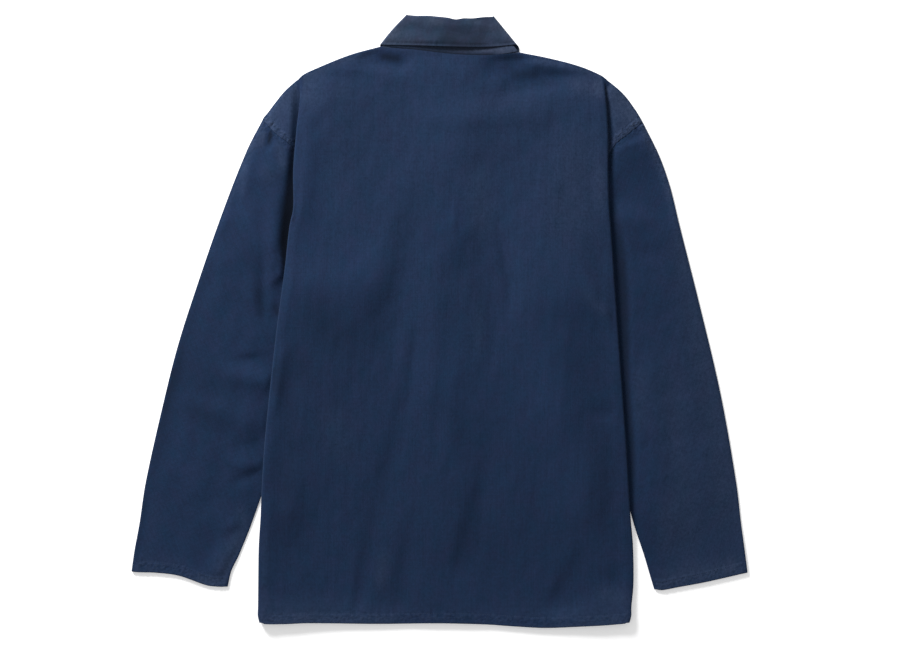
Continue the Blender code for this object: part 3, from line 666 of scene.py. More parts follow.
HEM_FOLD = 0.45             # radius of the cloth folded up at a hem
HEM_TURN = 13
HEM_BAND = 7                # middle of the band between the edge and the stitches
HEM_END = 0.985             # it stops short of the side folds
HEM_ANGLES = np.linspace(0, np.pi, 7)


def turned_hem(place, up):
    """Rows of points for a hem turned to the inside, above the cloth (up 1) or below it (-1).

    place gives the points of one line across the cloth, a distance in from its edge.
    """
    edge = place(0)
    inwards = unit(place(1)[:2] - edge[:2])
    rows = []
    for angle in HEM_ANGLES:
        point = edge.copy()
        point[:2] -= inwards * HEM_FOLD * np.sin(angle)
        point[2] += up * HEM_FOLD * (1 - np.cos(angle))
        rows.append(point)
    for reach in np.linspace(0, HEM_TURN, 4)[1:]:
        point = place(reach)
        point[2] += up * 2 * HEM_FOLD
        rows.append(point)
    return np.stack(rows, axis=1)


def stations(start, *runs):
    """Rising numbers, evenly spaced in each run, which gives the run's end and its count."""
    numbers = [start]
    for end, count in runs:
        numbers.extend(np.linspace(numbers[-1], end, count + 1)[1:])
    return np.array(numbers)


BACK_COLUMNS = {MAIN: 88, OUTER_FOLD: 10, TURNED_UNDER: 5, INNER_FOLD: 10, CAP: 24}
BACK_ROWS = stations(0, (0.03, 9), (UNDERARM_ROW, 69), (0.965, 61), (1, 23))


def leaf_rows(leaf, rows):
    """The inner fold and the shoulder cap end at the underarm."""
    return rows[rows <= UNDERARM_ROW] if leaf in (INNER_FOLD, CAP) else rows


def back_wear_and_shading(x, y):
    """How pale or dark the back is in each place, from wear and painted light and shade, and how far its
    stitches draw it up.
    """
    from_hem = hem_distance(x, y)
    from_top = distance_to(TOP_LINE, x, y)
    ends = toward_ends(x)
    beside_neck = between(np.abs(x - CENTRE_X), 90, 125)
    # Paler in the 50 mm above the hem, most towards its ends: painted light.
    wear_and_painted_shading = (0.05 + 0.4 * ends) * (1 - ease(from_hem / 50)) + 0.3 * ends * bump(from_hem, 4)
    # The hem's band is paler from wear, and paler still where its puckers rise: a painted highlight.
    wear_and_painted_shading += (0.1 + 0.2 * puckers(x, 7)) * bump(from_hem - HEM_BAND, 6)
    # A narrow paler line along the top edge is wear; the wider paler band on the shoulders beside the
    # neck is painted light.
    wear_and_painted_shading += 0.15 * bump(from_top, 3) + 0.5 * beside_neck * bump(from_top, 8)
    # The back is painted lighter towards the top, as light from above falls, and its patches are painted
    # light and shade.
    wear_and_painted_shading += 0.15 * between(y, -150, 280) + creases(BACK_PAINTED_LIGHT_AND_SHADE, x, y)
    return wear_and_painted_shading, 0.7 * bump(from_hem - HEM_BAND, 8) + 0.6 * beside_neck * bump(from_top, 5)


def cap_wear_and_shading(side, x, y, down):
    """The same for the shoulder cap."""
    from_seam = distance_to(ARMHOLE_LINES[side], x, y)
    from_edge = distance_to(OUTLINES[side][0], x, y)
    wear_and_painted_shading = 0.3 * (1 - between(from_seam, SEAM_STITCH - 1, SEAM_STITCH + 3))
    # Painted light over the cap, strongest at its outline.
    wear_and_painted_shading += CAP_PAINTED_LIGHT[side] * (1 + bump(from_edge, 20))
    # Painted shade in the hollow beside the fold.
    wear_and_painted_shading += hollow_painted_shade(side, x, y) * between(down, 0, 0.08)
    return wear_and_painted_shading, 1 - between(from_seam, SEAM_STITCH, SEAM_STITCH + 5) + 0.6 * bump(from_edge, 8)


def back_strips():
    """Grids of points that meet edge to edge, each with its wear and painted light and shade, and how far
    it is drawn up.
    """
    for side in SIDES:
        for leaf, count in BACK_COLUMNS.items():
            columns = np.linspace(0, 1, count + 1)
            share, down = np.meshgrid(columns, leaf_rows(leaf, BACK_ROWS))
            if leaf == MAIN:
                points = on_back(side * share, down)
                yield points, *back_wear_and_shading(*points[:2])
                columns = columns[columns >= NECK_SHARE - 0.5 / count]
            else:
                points = on_back_side(side, leaf, share, down)
                yield points, *(cap_wear_and_shading(side, *points[:2], down) if leaf == CAP else (0, 0))
            share, turn = np.meshgrid(columns, stations(0, (1, 8), (2, 2)))
            yield on_shoulder_turn(side, leaf, share, turn), 0, 0
        line = side * np.linspace(0, HEM_END, 87)
        yield turned_hem(lambda reach: on_back(line, 1 - reach / SIDE_LENGTH[side] + 0 * line), -1), 0, 0


def in_scene(name, data):
    item = bpy.data.objects.new(name, data)
    bpy.context.scene.collection.objects.link(item)
    return item


def mesh_object(name, verts, faces, material):
    mesh = bpy.data.meshes.new(name)
    mesh.from_pydata(verts, [], faces)
    mesh.materials.append(material)
    mesh.shade_smooth()
    return in_scene(name, mesh)


MARKS = ("wear_and_painted_shading", "drawn")   # kept at each point of the cloth, for its material: wear with painted light and shade, and how far stitches draw it up


def cloth_object(name, strips, material, thickness=CLOTH):
    """Object made of grids of points joined edge to edge and given the cloth's thickness."""
    verts = []
    faces = []
    marks = {mark: [] for mark in MARKS}
    for points, *amounts in strips:
        rows, columns = points.shape[1:]
        index = np.arange(rows * columns).reshape(rows, columns) + len(verts)
        corners = (index[:-1, :-1], index[:-1, 1:], index[1:, 1:], index[1:, :-1])
        faces.extend(np.stack(corners, axis=-1).reshape(-1, 4).tolist())
        verts.extend((points.reshape(3, -1).T * MM).tolist())
        for values, amount in zip(marks.values(), amounts):
            values.extend(np.broadcast_to(amount, (rows, columns)).ravel().tolist())
    item = mesh_object(name, verts, faces, material)
    for mark, values in marks.items():
        item.data.attributes.new(mark, "FLOAT", "POINT").data.foreach_set("value", values)
    bm = bmesh.new()
    bm.from_mesh(item.data)
    bmesh.ops.remove_doubles(bm, verts=bm.verts, dist=0.02 * MM)
    bmesh.ops.dissolve_degenerate(bm, edges=bm.edges, dist=0.005 * MM)
    bmesh.ops.recalc_face_normals(bm, faces=bm.faces)
    bm.to_mesh(item.data)
    bm.free()
    wall = item.modifiers.new("wall", "SOLIDIFY")
    wall.thickness = thickness * MM
    wall.offset = 0
    apply_modifiers(item)
    return item


def apply_modifiers(item):
    """Makes the object's modifiers final, and shades it smooth except at cut edges."""
    bpy.context.view_layer.update()
    depsgraph = bpy.context.evaluated_depsgraph_get()
    item.data = bpy.data.meshes.new_from_object(item.evaluated_get(depsgraph))
    item.data.shade_smooth()
    item.data.set_sharp_from_angle(angle=math.radians(50))
    item.modifiers.clear()


def feed(tree, node, values):
    """Sets a node's inputs, each to a value or to another node's output."""
    for key, value in values.items():
        if isinstance(value, bpy.types.NodeSocket):
            tree.links.new(value, node.inputs[key])
        else:
            node.inputs[key].default_value = value


def add_node(tree, kind, values, **settings):
    node = tree.nodes.new(kind)
    for key, value in settings.items():
        setattr(node, key, value)
    feed(tree, node, values)
    return node


def new_material(name):
    """A material, its nodes, and the places on the piece that its patterns follow."""
    material = bpy.data.materials.new(name)
    material.use_nodes = True
    tree = material.node_tree
    return material, tree, add_node(tree, "ShaderNodeTexCoord", {}).outputs["Object"]


def finish(tree, values):
    """What the surface looks like, given to the material's shader."""
    feed(tree, tree.nodes["Principled BSDF"], values)


def calculate(tree, operation, first, second=0.0, third=0.0):
    node = add_node(tree, "ShaderNodeMath", {0: first, 1: second, 2: third}, operation=operation)
    return node.outputs[0]


def layered(tree, base, *patterns):
    """A base with patterns added to it, each with its own strength."""
    for strength, pattern in patterns:
        base = calculate(tree, "MULTIPLY_ADD", pattern, strength, base)
    return base


def noise(tree, vector, scale, detail=2.0, roughness=0.5):
    """Noise about 0, between -0.5 and 0.5, stretched by three scales."""
    mapped = add_node(tree, "ShaderNodeMapping", {"Vector": vector, "Scale": scale})
    node = add_node(tree, "ShaderNodeTexNoise", {
        "Vector": mapped.outputs[0], "Scale": 1.0, "Detail": detail, "Roughness": roughness})
    return calculate(tree, "SUBTRACT", node.outputs[0], 0.5)


def mix_colour(tree, factor, first, second):
    inputs = {0: factor, 6: first, 7: second}
    return add_node(tree, "ShaderNodeMix", inputs, data_type="RGBA", clamp_factor=True).outputs[2]


def scaled(colour, share):
    return (*(channel * share for channel in colour), 1.0)


NAVY = (0.0079, 0.0187, 0.0485)
YARN = 0.00062              # from one yarn to the next
YARN_DEPTH = 0.00022        # of the weave and its slubs
PUCKER_DEPTH = 0.0016       # of the cloth drawn up beside its stitches


def navy_cotton(name, grain=0.0, colour=NAVY, wash=0.5):
    """Washed plain-weave cotton with slubs along its warp, paler where it is worn or light is painted on,
    darker where shade is painted on.
    """
    material, tree, place = new_material(name)
    cloth = add_node(tree, "ShaderNodeMapping", {"Vector": place, "Rotation": (0, 0, grain)}).outputs[0]
    warp_slubs = noise(tree, cloth, (800, 22, 60), 3.0, 0.6)
    weft_slubs = noise(tree, cloth, (30, 900, 60), 2.0, 0.6)
    mottle = noise(tree, cloth, (330, 260, 60), 3.0, 0.6)
    patches = noise(tree, cloth, (9, 6, 6), 3.0, 0.55)
    tone = layered(tree, 0.5, (0.5, warp_slubs), (0.3, weft_slubs), (0.9, mottle), (wash, patches))
    hue = layered(tree, 0.5, (1.8, noise(tree, cloth, (60, 40, 40), 3.0, 0.6)))
    violet = (colour[0] * 1.25, colour[1] * 0.96, colour[2])
    green = (colour[0] * 0.75, colour[1] * 1.04, colour[2])
    darker, lighter = (
        mix_colour(tree, hue, scaled(violet, share), scaled(green, share)) for share in (0.62, 1.38))
    dyed = mix_colour(tree, tone, darker, lighter)

    wear_and_painted_shading, drawn = (
        add_node(tree, "ShaderNodeAttribute", {}, attribute_name=mark).outputs["Fac"] for mark in MARKS)
    # The pucker noise raises the cloth by bump and also paints its raised spots paler: a painted
    # highlight.
    pucker_and_highlight = calculate(tree, "MULTIPLY", noise(tree, cloth, (230, 230, 60), 1.0), drawn)
    # Above 0 the attribute makes the cloth paler: real wear and painted light.
    wear_and_painted_light = calculate(tree, "MULTIPLY", layered(tree, 0.5, (1.2, mottle)), wear_and_painted_shading)
    paler = [0.92 * channel + 0.0127 for channel in colour]
    dyed = mix_colour(tree, layered(tree, wear_and_painted_light, (0.9, pucker_and_highlight)), dyed, scaled(paler, 1.5))
    # Below 0 it makes the cloth darker: painted shade, and the darker seam lines.
    painted_shade_and_seams = calculate(tree, "MULTIPLY", wear_and_painted_shading, -0.95)
    dyed = mix_colour(tree, painted_shade_and_seams, dyed, scaled(colour, 0.14))

    split = add_node(tree, "ShaderNodeSeparateXYZ", {"Vector": cloth})
    over, under = (
        calculate(tree, "SINE", calculate(tree, "MULTIPLY", split.outputs[axis], math.pi / YARN))
        for axis in (0, 1))
    weave = calculate(tree, "MULTIPLY", over, under)
    height = layered(tree, warp_slubs, (0.35, weave), (0.5, weft_slubs), (1.0, mottle))
    puckered = add_node(tree, "ShaderNodeBump", {"Height": pucker_and_highlight, "Distance": PUCKER_DEPTH})
    raised = add_node(tree, "ShaderNodeBump", {
        "Height": height, "Distance": YARN_DEPTH, "Strength": 0.8, "Normal": puckered.outputs[0]})
    finish(tree, {
        "Base Color": dyed, "Normal": raised.outputs[0], "Roughness": layered(tree, 0.88, (0.2, mottle)),
        "Specular IOR Level": 0.08, "Sheen Weight": 0.06, "Sheen Roughness": 0.5,
        "Sheen Tint": (0.55, 0.7, 1.0, 1.0)})
    return material


STITCH_PITCH = 3.0
STITCH_LENGTH = 2.3
STITCH_RADIUS = 0.22
STITCH_SINK = 0.2           # the row on the underside lies this far into the cloth
STITCH_ARCH = ((0, -0.12, 0.6), (0.3, 0.08, 1), (0.7, 0.08, 1), (1, -0.12, 0.6))


def add_thread(verts, faces, centres, radii, sides):
    """Adds one short thread to a mesh: a tube with closed ends, through its centres."""
    along = (centres[-1] - centres[0]).normalized()
    across = along.cross(Vector((0, 0, 1))).normalized()
    normal = across.cross(along)
    base = len(verts)
    for centre, radius in zip(centres, radii):
        for corner in range(sides):
            angle = 2 * math.pi * corner / sides
            reach = across * math.cos(angle) - normal * math.sin(angle)
            verts.append((centre + reach * radius) * MM)
    last = len(verts) - sides
    for ring in range(base, last, sides):
        for corner in range(sides):
            first = ring + corner
            second = ring + (corner + 1) % sides
            faces.append((first, second, second + sides, first + sides))
    faces.append(tuple(reversed(range(base, base + sides))))
    faces.append(tuple(range(last, last + sides)))


def stitches(name, lines, material, length=STITCH_LENGTH):
    """Rows of stitches, each a short arched thread on the cloth.

    lines holds a dense line of points for each row, and 1 or -1 for the side of the cloth.
    """
    verts = []
    faces = []
    for line, up in lines:
        steps = np.sqrt((np.diff(line) ** 2).sum(axis=0))
        travelled = np.concatenate([[0], np.cumsum(steps)])
        for start in np.arange(0.5, travelled[-1] - length, STITCH_PITCH):
            centres = []
            for share, lift, _ in STITCH_ARCH:
                centre = Vector([np.interp(start + share * length, travelled, axis) for axis in line])
                centre.z += up * (CLOTH / 2 + lift - (STITCH_SINK if up < 0 else 0))
                centres.append(centre)
            add_thread(verts, faces, centres, [STITCH_RADIUS * size for *_, size in STITCH_ARCH], 5)
    return mesh_object(name, verts, faces, material)


def thread_material(name, colour):
    """Twisted sewing thread."""
    material, tree, place = new_material(name)
    twist = noise(tree, place, (3500, 3500, 3500), 1.0)
    tone = layered(tree, 0.5, (0.8, twist), (1.0, noise(tree, place, (60, 60, 60), 2.0)))
    dyed = mix_colour(tree, tone, scaled(colour, 0.7), scaled(colour, 1.3))
    raised = add_node(tree, "ShaderNodeBump", {"Height": twist, "Distance": 0.0001})
    finish(tree, {
        "Base Color": dyed, "Normal": raised.outputs[0], "Roughness": 0.7, "Specular IOR Level": 0.2})
    return material


def fit(piece, slot, *nodes):
    """Puts a piece on the shirt's one body, in place of CAD nodes."""
    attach(piece, "root")
    if nodes:
        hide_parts(*nodes)


body_cotton = navy_cotton("navy_cotton_body")
thread = thread_material("navy_thread", (0.016, 0.030, 0.066))

back = cloth_object("back_cloth", back_strips(), body_cotton)


def above_hem(place_on, across, height):
    """A line of points on the cloth, a given height above its hem's edge."""
    length = main_leaf(across, 0 * across)[1] - main_leaf(across, 0 * across + 1)[1]
    return place_on(across, 1 - height / length)


def beside_seam(side, distance):
    """A line of points on the shoulder cap, a given distance from the armhole seam."""
    down = np.linspace(0.01, UNDERARM_ROW * 0.5, 200)
    width = np.hypot(*(shoulder_cap(side, 0 * down + 1, down) - shoulder_cap(side, 0 * down, down)))
    return on_back_side(side, CAP, 1 - distance / np.maximum(width, 2 * distance), down)


back_lines = [(above_hem(on_back, np.linspace(-0.99, 0.99, 600), HEM_STITCH), 1)]
back_lines += [(beside_seam(side, SEAM_STITCH), 1) for side in SIDES]
back_stitches = stitches("back_stitches", back_lines, thread)

fit(back, "navy_cotton", "back")
fit(back_stitches, "navy_cotton")


# ---------------------------------------------------------------- the fronts
# Two fronts of the same cotton, hidden under the back and flat on the surface, with turned
# hems and two rows of stitches down each front edge. The left one, with the buttonholes, laps
# 30 mm over the right, which here means under it.

LAP = 15                    # past the centre
HALF_WIDTH = 230            # from the centre to a side fold
LAP_SHARE = LAP / HALF_WIDTH
FRONT_NECK_DROP = 70
FRONT_NECK = FRONT_NECK_DROP / (curve(NECK_SEAM, 0.5)[1] - HEM_Y)
FRONT_LENGTH = 322 - HEM_Y
FRONT_COLUMNS = {MAIN: 44, OUTER_FOLD: 8, TURNED_UNDER: 5, INNER_FOLD: 8, CAP: 10}
HEM_START = 0.28            # the laps are left single at the hem
PLACKET_STITCHES = (0.115, 0.012)   # two rows, as shares across from the front edge
TURN_SHARE = SHOULDER_TURN / SIDE_LENGTH[1]
FRONT_ROWS = stations(TURN_SHARE, (UNDERARM_ROW, 35), (0.96, 39), (1, 11))


def front_down(across, down):
    """Moves the rows of a front down to clear the neck, which is lower than on the back."""
    inside = np.sqrt(np.clip(1 - (across / NECK_SHARE) ** 2, 0, 1))
    start = TURN_SHARE + (FRONT_NECK - TURN_SHARE) * inside
    moved = start + (UNDERARM_ROW - start) * (down - TURN_SHARE) / (UNDERARM_ROW - TURN_SHARE)
    return np.where(down < UNDERARM_ROW, moved, down)


def on_front(side, across, down):
    """Points on the flat part of a front, the left one a layer lower where they lap."""
    plan = main_leaf(across, front_down(across, down))
    drop = PITCH * (1 + (lap_share(*plan) if side < 0 else 0))
    relief = 0.12 * puckers(plan[0], 40 + side) * bump(hem_distance(*plan) - HEM_STITCH, 5)
    return np.array([*plan, back_height(*plan) - drop + relief])


def front_strips(side):
    for leaf, count in FRONT_COLUMNS.items():
        columns = stations(-LAP_SHARE, (0, 3), (1, count)) if leaf == MAIN else stations(0, (1, count))
        share, down = np.meshgrid(columns, leaf_rows(leaf, FRONT_ROWS))
        if leaf == MAIN:
            yield on_front(side, side * share, down), 0, 0
        else:
            yield on_side(side, leaf, share, down, PITCH), 0, 0
    line = side * np.linspace(HEM_START, HEM_END, 40)
    yield turned_hem(lambda reach: on_front(side, line, 1 - reach / FRONT_LENGTH + 0 * line), 1), 0, 0


BUTTONHOLE = (-17, 2)       # from its inner to its outer end, measured from the button's middle
BUTTONHOLE_THREAD = 1.7     # width of each of its two worked edges
BUTTONHOLE_PITCH = 0.8      # from one short thread to the next


def buttonhole(centre):
    """Lines for the short threads, side by side, that edge a buttonhole."""
    lines = []
    for x in centre.x / MM + np.arange(*BUTTONHOLE, BUTTONHOLE_PITCH):
        for side in SIDES:
            y = centre.y / MM + side * np.linspace(-0.2, 2.1, 8)
            z = back_height(x, y) - PITCH * (1 + lap_share(x, y))
            lines.append((np.array([x + 0 * y, y, z]), -1))
    return lines


buttons = sorted(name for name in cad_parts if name.startswith("button_"))
for side, name in zip(SIDES, ("front_left", "front_right")):
    front = cloth_object(f"{name}_cloth", front_strips(side), body_cotton)
    down = np.linspace(TURN_SHARE, 0.995, 400)
    lines = [
        (on_front(side, side * (inset - LAP_SHARE) + 0 * down, down), -1) for inset in PLACKET_STITCHES]
    across = side * np.linspace(0.01 - LAP_SHARE, 0.98, 300)
    lines.append((above_hem(lambda a, d: on_front(side, a, d), across, HEM_STITCH), -1))
    sewn = [stitches(f"{name}_stitches", lines, thread)]
    if side < 0:
        holes = [line for node in buttons for line in buttonhole(sum(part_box(node), Vector()) / 2)]
        sewn.append(stitches("buttonhole_stitches", holes, thread, BUTTONHOLE_THREAD))
    fit(front, "navy_cotton", name)
    for item in sewn:
        fit(item, "navy_cotton")


# ---------------------------------------------------------------- the sleeves
# One-piece cotton sleeves, flat tubes with the seam under the arm. Each is swung in under the
# body's folded side, is rounded at its overarm edge, and ends in a 13 mm stitched hem.

CUFF = (
    # station, left x, left y, right x, right y
    (0.0, -408.2, -332.5, 407, -334), (0.07, -400, -333.1, 399.5, -335.6),
    (0.25, -378, -333.7, 378, -340.6), (0.5, -347, -337.7, 348, -347.2),
    (0.8, -310, -350.4, 312, -353.8), (0.93, -293, -352.4, 295, -356.9),
    (1.0, -283.8, -352.2, 286.4, -355.8),
)
CUFF_RADIUS = 1.45          # half the height of the open cuff
CUFF_STITCH = 13.5
SLEEVE_CREASES = {
    # rows like those for the back
    -1: (
        (-229, 226, -225, 248, 0, 5, 4, -2.2), (-252, 190, -208, 206, 0, 34, 12, 1.4),
        (-262, 160, -252, 208, 0, 6, 7, 2.0), (-225, 56, -218, 165, 0, 10, 8, 2.4),
        (-236, -4, -233, 84, 0, 8, 8, -3.0), (-219, 2, -216, 18, 0, 5, 5, -3.2),
        (-264, -50, -216, -52, 0, 5, 12, -3.3), (-288, -68, -218, -82, 3, 13, 12, 2.8),
        (-306, -114, -222, -138, 5, 20, 15, 2.4), (-340, -106, -290, -122, 4, 14, 34, 1.2),
        (-268, -164, -232, -168, 0, 8, 10, -1.6), (-276, -190, -232, -190, 2, 10, 7, 1.8),
        (-272, -214, -240, -202, 0, 6, 8, -1.8), (-284, -276, -268, -266, 0, 9, 7, 1.5),
        (-300, -344, -276, -298, 0, 24, 9, 2.6), (-330, -330, -304, -288, 2, 14, 18, -1.8),
        (-322, -240, -304, -160, 3, 22, 12, 1.4), (-300, 20, -292, 80, 0, 16, 10, 1.0),
    ),
    1: (
        (238, 226, 276, 240, 0, 8, 34, 3.4), (240, 168, 300, 152, 0, 60, 20, -4.2),
        (238, 136, 268, 130, 0, 18, 16, 2.0), (262, 92, 296, 86, 0, 12, 12, -1.4),
        (284, -156, 282, -58, 2, 28, 18, 3.4), (330, -130, 326, -40, 2, 22, 18, 0.8),
        (300, -310, 334, -304, 2, 12, 12, -1.8), (296, -230, 292, -160, 0, 18, 12, 1.4),
    ),
}
# Patches of painted light (above 0) and painted shade (below 0) on the sleeves.
SLEEVE_PAINTED_LIGHT_AND_SHADE = {
    # rows like those for the back
    -1: (
        (-214, 236, -208, 200, 0, 8, 6, 0.5), (-258, 206, -262, 166, 0, 6, 6, 0.3),
        (-262, 226, -232, 250, 0, 10, 10, 0.3), (-232, 200, -222, 190, 0, 12, 12, 0.3),
        (-227, 236, -224, 252, 0, 4, 3, -1.0), (-237, 232, -233, 250, 0, 4, 4, 0.5),
        (-292, 170, -376, -150, 14, 18, 22, -0.34), (-350, -66, -262, -98, 0, 30, 30, -0.16),
        (-352, -50, -392, -200, 0, 12, 12, -0.25), (-396, -322, -330, -326, 0, 14, 14, 0.2),
        (-340, -343, -290, -349, 0, 7, 7, 0.25), (-412, -322, -400, -328, 0, 6, 6, 0.35),
        (-392, -230, -404, -318, 0, 5, 6, -0.3), (-286, 130, -276, 100, 0, 18, 18, -0.15),
        (-334, -118, -296, -126, 0, 14, 14, -0.22), (-219, 20, -216, 8, 0, 5, 5, -0.5),
        (-266, -250, -258, -270, 0, 8, 8, 0.3), (-240, 46, -238, 6, 0, 7, 7, -0.3),
        (-290, -346, -258, -280, 0, 16, 12, 0.7), (-322, -342, -296, -348, 0, 8, 8, 0.5),
        (-330, -320, -306, -290, 0, 10, 12, -0.12), (-400, -320, -380, -240, 0, 14, 14, 0.12),
    ),
    1: (
        (266, -64, 266, -140, 0, 12, 12, 0.25), (322, 110, 330, 60, 0, 16, 16, 0.4),
        (386, -322, 398, -326, 0, 12, 12, 0.3), (290, -346, 398, -328, 0, 8, 8, 0.3),
        (286, -350, 302, -353, 0, 8, 8, 0.35), (300, -240, 300, -310, 0, 14, 14, 0.25),
        (330, 60, 384, -300, -6, 24, 26, 0.5), (302, -60, 334, -320, 0, 24, 24, 0.4),
        (292, -340, 396, -324, 0, 16, 16, 0.4), (352, 0, 402, -300, -8, 8, 8, 0.35),
    ),
}
# A sleeve's cloth goes round in four leaves
UPPER, OVERARM, LOWER, UNDERARM = range(4)
SLEEVE_COLUMNS = {UPPER: 56, OVERARM: 10, LOWER: 18, UNDERARM: 10}
SLEEVE_ROWS = stations(0, (0.05, 17), (0.94, 109), (1, 25))
SLEEVE_LENGTH = 600
CUFF_WIDTH = 130
OVERARM_PAINTED_LIGHT = {-1: 0.5, 1: 0.9}      # painted light along the overarm edge, next to the shoulder


def sleeve_plan(side, across, along):
    """Plan points on a sleeve, from overarm (0) to underarm (1) and armhole (0) to cuff (1)."""
    return patch(
        lambda share: side_curve(ARMHOLE, share, side),
        lambda share: side_curve(CUFF, share, side),
        lambda share: curve(SLEEVE[side], share)[:2],
        lambda share: curve(SLEEVE[side], share)[2:],
        across,
        along,
    )


def sleeve_relief(side, x, y, across, along):
    """Height of a sleeve's upper cloth above its flat level."""
    from_seam = distance_to(ARMHOLE_LINES[side], x, y)
    from_cuff = distance_to(side_curve(CUFF, np.linspace(0, 1, 40), side), x, y)
    from_edge = from_outline(side, x, y)
    full = crown(side, x, y) * (1 - between(along, 0.7, 0.975))
    drawn = gathers(side, across) * bump(from_seam - 2, 9)
    uneven = 0.35 * waves(x, 0.7 * y, 12 + side, 30, 110) + 0.14 * waves(x, 0.7 * y, 16 + side, 12, 35)
    uneven = uneven + creases(SLEEVE_CREASES[side], x, y)
    uneven = uneven * ease(from_edge / 10) * ease(from_seam / 12) * ease((from_cuff - 2) / 20)
    hem = stitched_edge(from_cuff, CUFF_STITCH, across * CUFF_WIDTH, 50 + side) * ease(from_edge / 4)
    full = above_nothing(full + clear_of_fold(side, x, y) * uneven) - above_nothing(0)
    return full + hollow_share(side, x, y) * (0.6 * drawn - 0.8 * bump(from_seam, 2)) + hem


def on_sleeve(side, leaf, share, along, inset=0.0):
    """Points on a leaf of a flat sleeve, inset to the inside of its tube."""
    radius = lerp(HALF_PITCH, CUFF_RADIUS, between(along, 0.86, 0.985))
    if leaf == UPPER:
        plan = sleeve_plan(side, 1 - share, along)
        relief = sleeve_relief(side, *plan, 1 - share, along)
        return np.array([*plan, LOWEST + 2 * radius + relief - inset])
    if leaf == LOWER:
        plan = sleeve_plan(side, share, along)
        return np.array([*plan, LOWEST + inset + 0 * plan[0]])
    across = 0 * share + (leaf == UNDERARM)
    out = side * square_to(lambda share: sleeve_plan(side, across, share), along, 0.01)
    if leaf == UNDERARM:
        out = -out
        share = 1 - share
    angle = np.pi * share
    plan = sleeve_plan(side, across, along) + out * (radius - inset) * np.sin(angle)
    return np.array([*plan, LOWEST + radius + (radius - inset) * np.cos(angle)])


def seam_allowance(side):
    """The sleeve's cut edge inside the armhole seam, pressed towards the body."""
    across = np.linspace(0.08, 0.5, 40)
    seam = on_sleeve(side, UPPER, 1 - across, 0 * across)
    into_body = unit(seam[:2] - on_sleeve(side, UPPER, 1 - across, 0 * across + 0.01)[:2])
    drop = 0.8 * ease((seam[2] - LOWEST - PITCH + 0.5) / 1.6)
    rows = [seam]
    for reach in (0, 3, SEAM_STITCH + 1):
        row = seam.copy()
        row[:2] += into_body * reach
        row[2] -= drop
        rows.append(row)
    return np.stack(rows, axis=1)


def sleeve_wear_and_shading(side, leaf, points, share, along):
    """How pale or dark a sleeve is in each place, from wear and painted light and shade, and how far its
    stitches draw it up.
    """
    from_cuff = (1 - along) * SLEEVE_LENGTH
    band = 0.14 + 0.22 * puckers(share * CUFF_WIDTH, 50 + side)
    wear_and_painted_shading = band * bump(from_cuff - HEM_BAND, 7) + 0.3 * bump(from_cuff, 3)
    drawn = 0.7 * bump(from_cuff - HEM_BAND, 8)
    if leaf == UPPER:
        x, y, _ = points
        # Painted light along the overarm edge next to the shoulder.
        edge = OVERARM_PAINTED_LIGHT[side] * between(y, 60, 200) * bump(distance_to(OUTLINES[side][0], x, y), 8)
        # The patches are painted light and shade, and the hollow beside the fold gets painted shade.
        wear_and_painted_shading = wear_and_painted_shading + edge + creases(SLEEVE_PAINTED_LIGHT_AND_SHADE[side], x, y) + hollow_painted_shade(side, x, y)
        drawn = drawn + edge + bump(distance_to(ARMHOLE_LINES[side], x, y), 8)
    return wear_and_painted_shading, drawn


def cuff_hem(side, leaf, columns):
    """Rows of points for the cuff's hem, turned to the inside of the sleeve."""
    across = {UPPER: 1 - columns, OVERARM: 0, LOWER: columns, UNDERARM: 1}[leaf] + 0 * columns
    out = square_to(lambda share: side_curve(CUFF, share, side), across, 0.02)
    out = out * np.where(out[1] > 0, -1, 1)
    rows = []
    for angle in HEM_ANGLES:
        row = on_sleeve(side, leaf, columns, 0 * columns + 1, HEM_FOLD * (1 - np.cos(angle)))
        row[:2] += out * HEM_FOLD * np.sin(angle)
        rows.append(row)
    for reach in (4, 8, HEM_TURN):
        rows.append(on_sleeve(side, leaf, columns, 0 * columns + 1 - reach / SLEEVE_LENGTH, 2 * HEM_FOLD))
    return np.stack(rows, axis=1)


def sleeve_strips(side):
    for leaf, count in SLEEVE_COLUMNS.items():
        columns = np.linspace(0, 1, count + 1)
        share, along = np.meshgrid(columns, SLEEVE_ROWS)
        points = on_sleeve(side, leaf, share, along)
        yield points, *sleeve_wear_and_shading(side, leaf, points, share, along)
        yield cuff_hem(side, leaf, columns), 0.1, 0
    yield seam_allowance(side), -0.3, 0


SLEEVE_GRAIN = {-1: -21, 1: 17}     # degrees that each is swung by
for side, name in zip(SIDES, ("sleeve_left", "sleeve_right")):
    sleeve_cotton = navy_cotton(f"navy_cotton_{name}", math.radians(SLEEVE_GRAIN[side]))
    sleeve = cloth_object(f"{name}_cloth", sleeve_strips(side), sleeve_cotton)
    share = np.linspace(0.01, 0.99, 300)
    row = 1 - CUFF_STITCH / SLEEVE_LENGTH + 0 * share
    lines = [(on_sleeve(side, leaf, share, row), up) for leaf, up in ((UPPER, 1), (LOWER, -1))]
    sleeve_stitches = stitches(f"{name}_stitches", lines, thread)
    fit(sleeve, "navy_cotton", name)
    fit(sleeve_stitches, "navy_cotton")


# ---------------------------------------------------------------- the collar
# A flat cotton stand sewn round the neck, and a stiffer fall that rolls over it and ends in
# two points at the front. The fall has a row of stitches 3 mm in from its free edge.

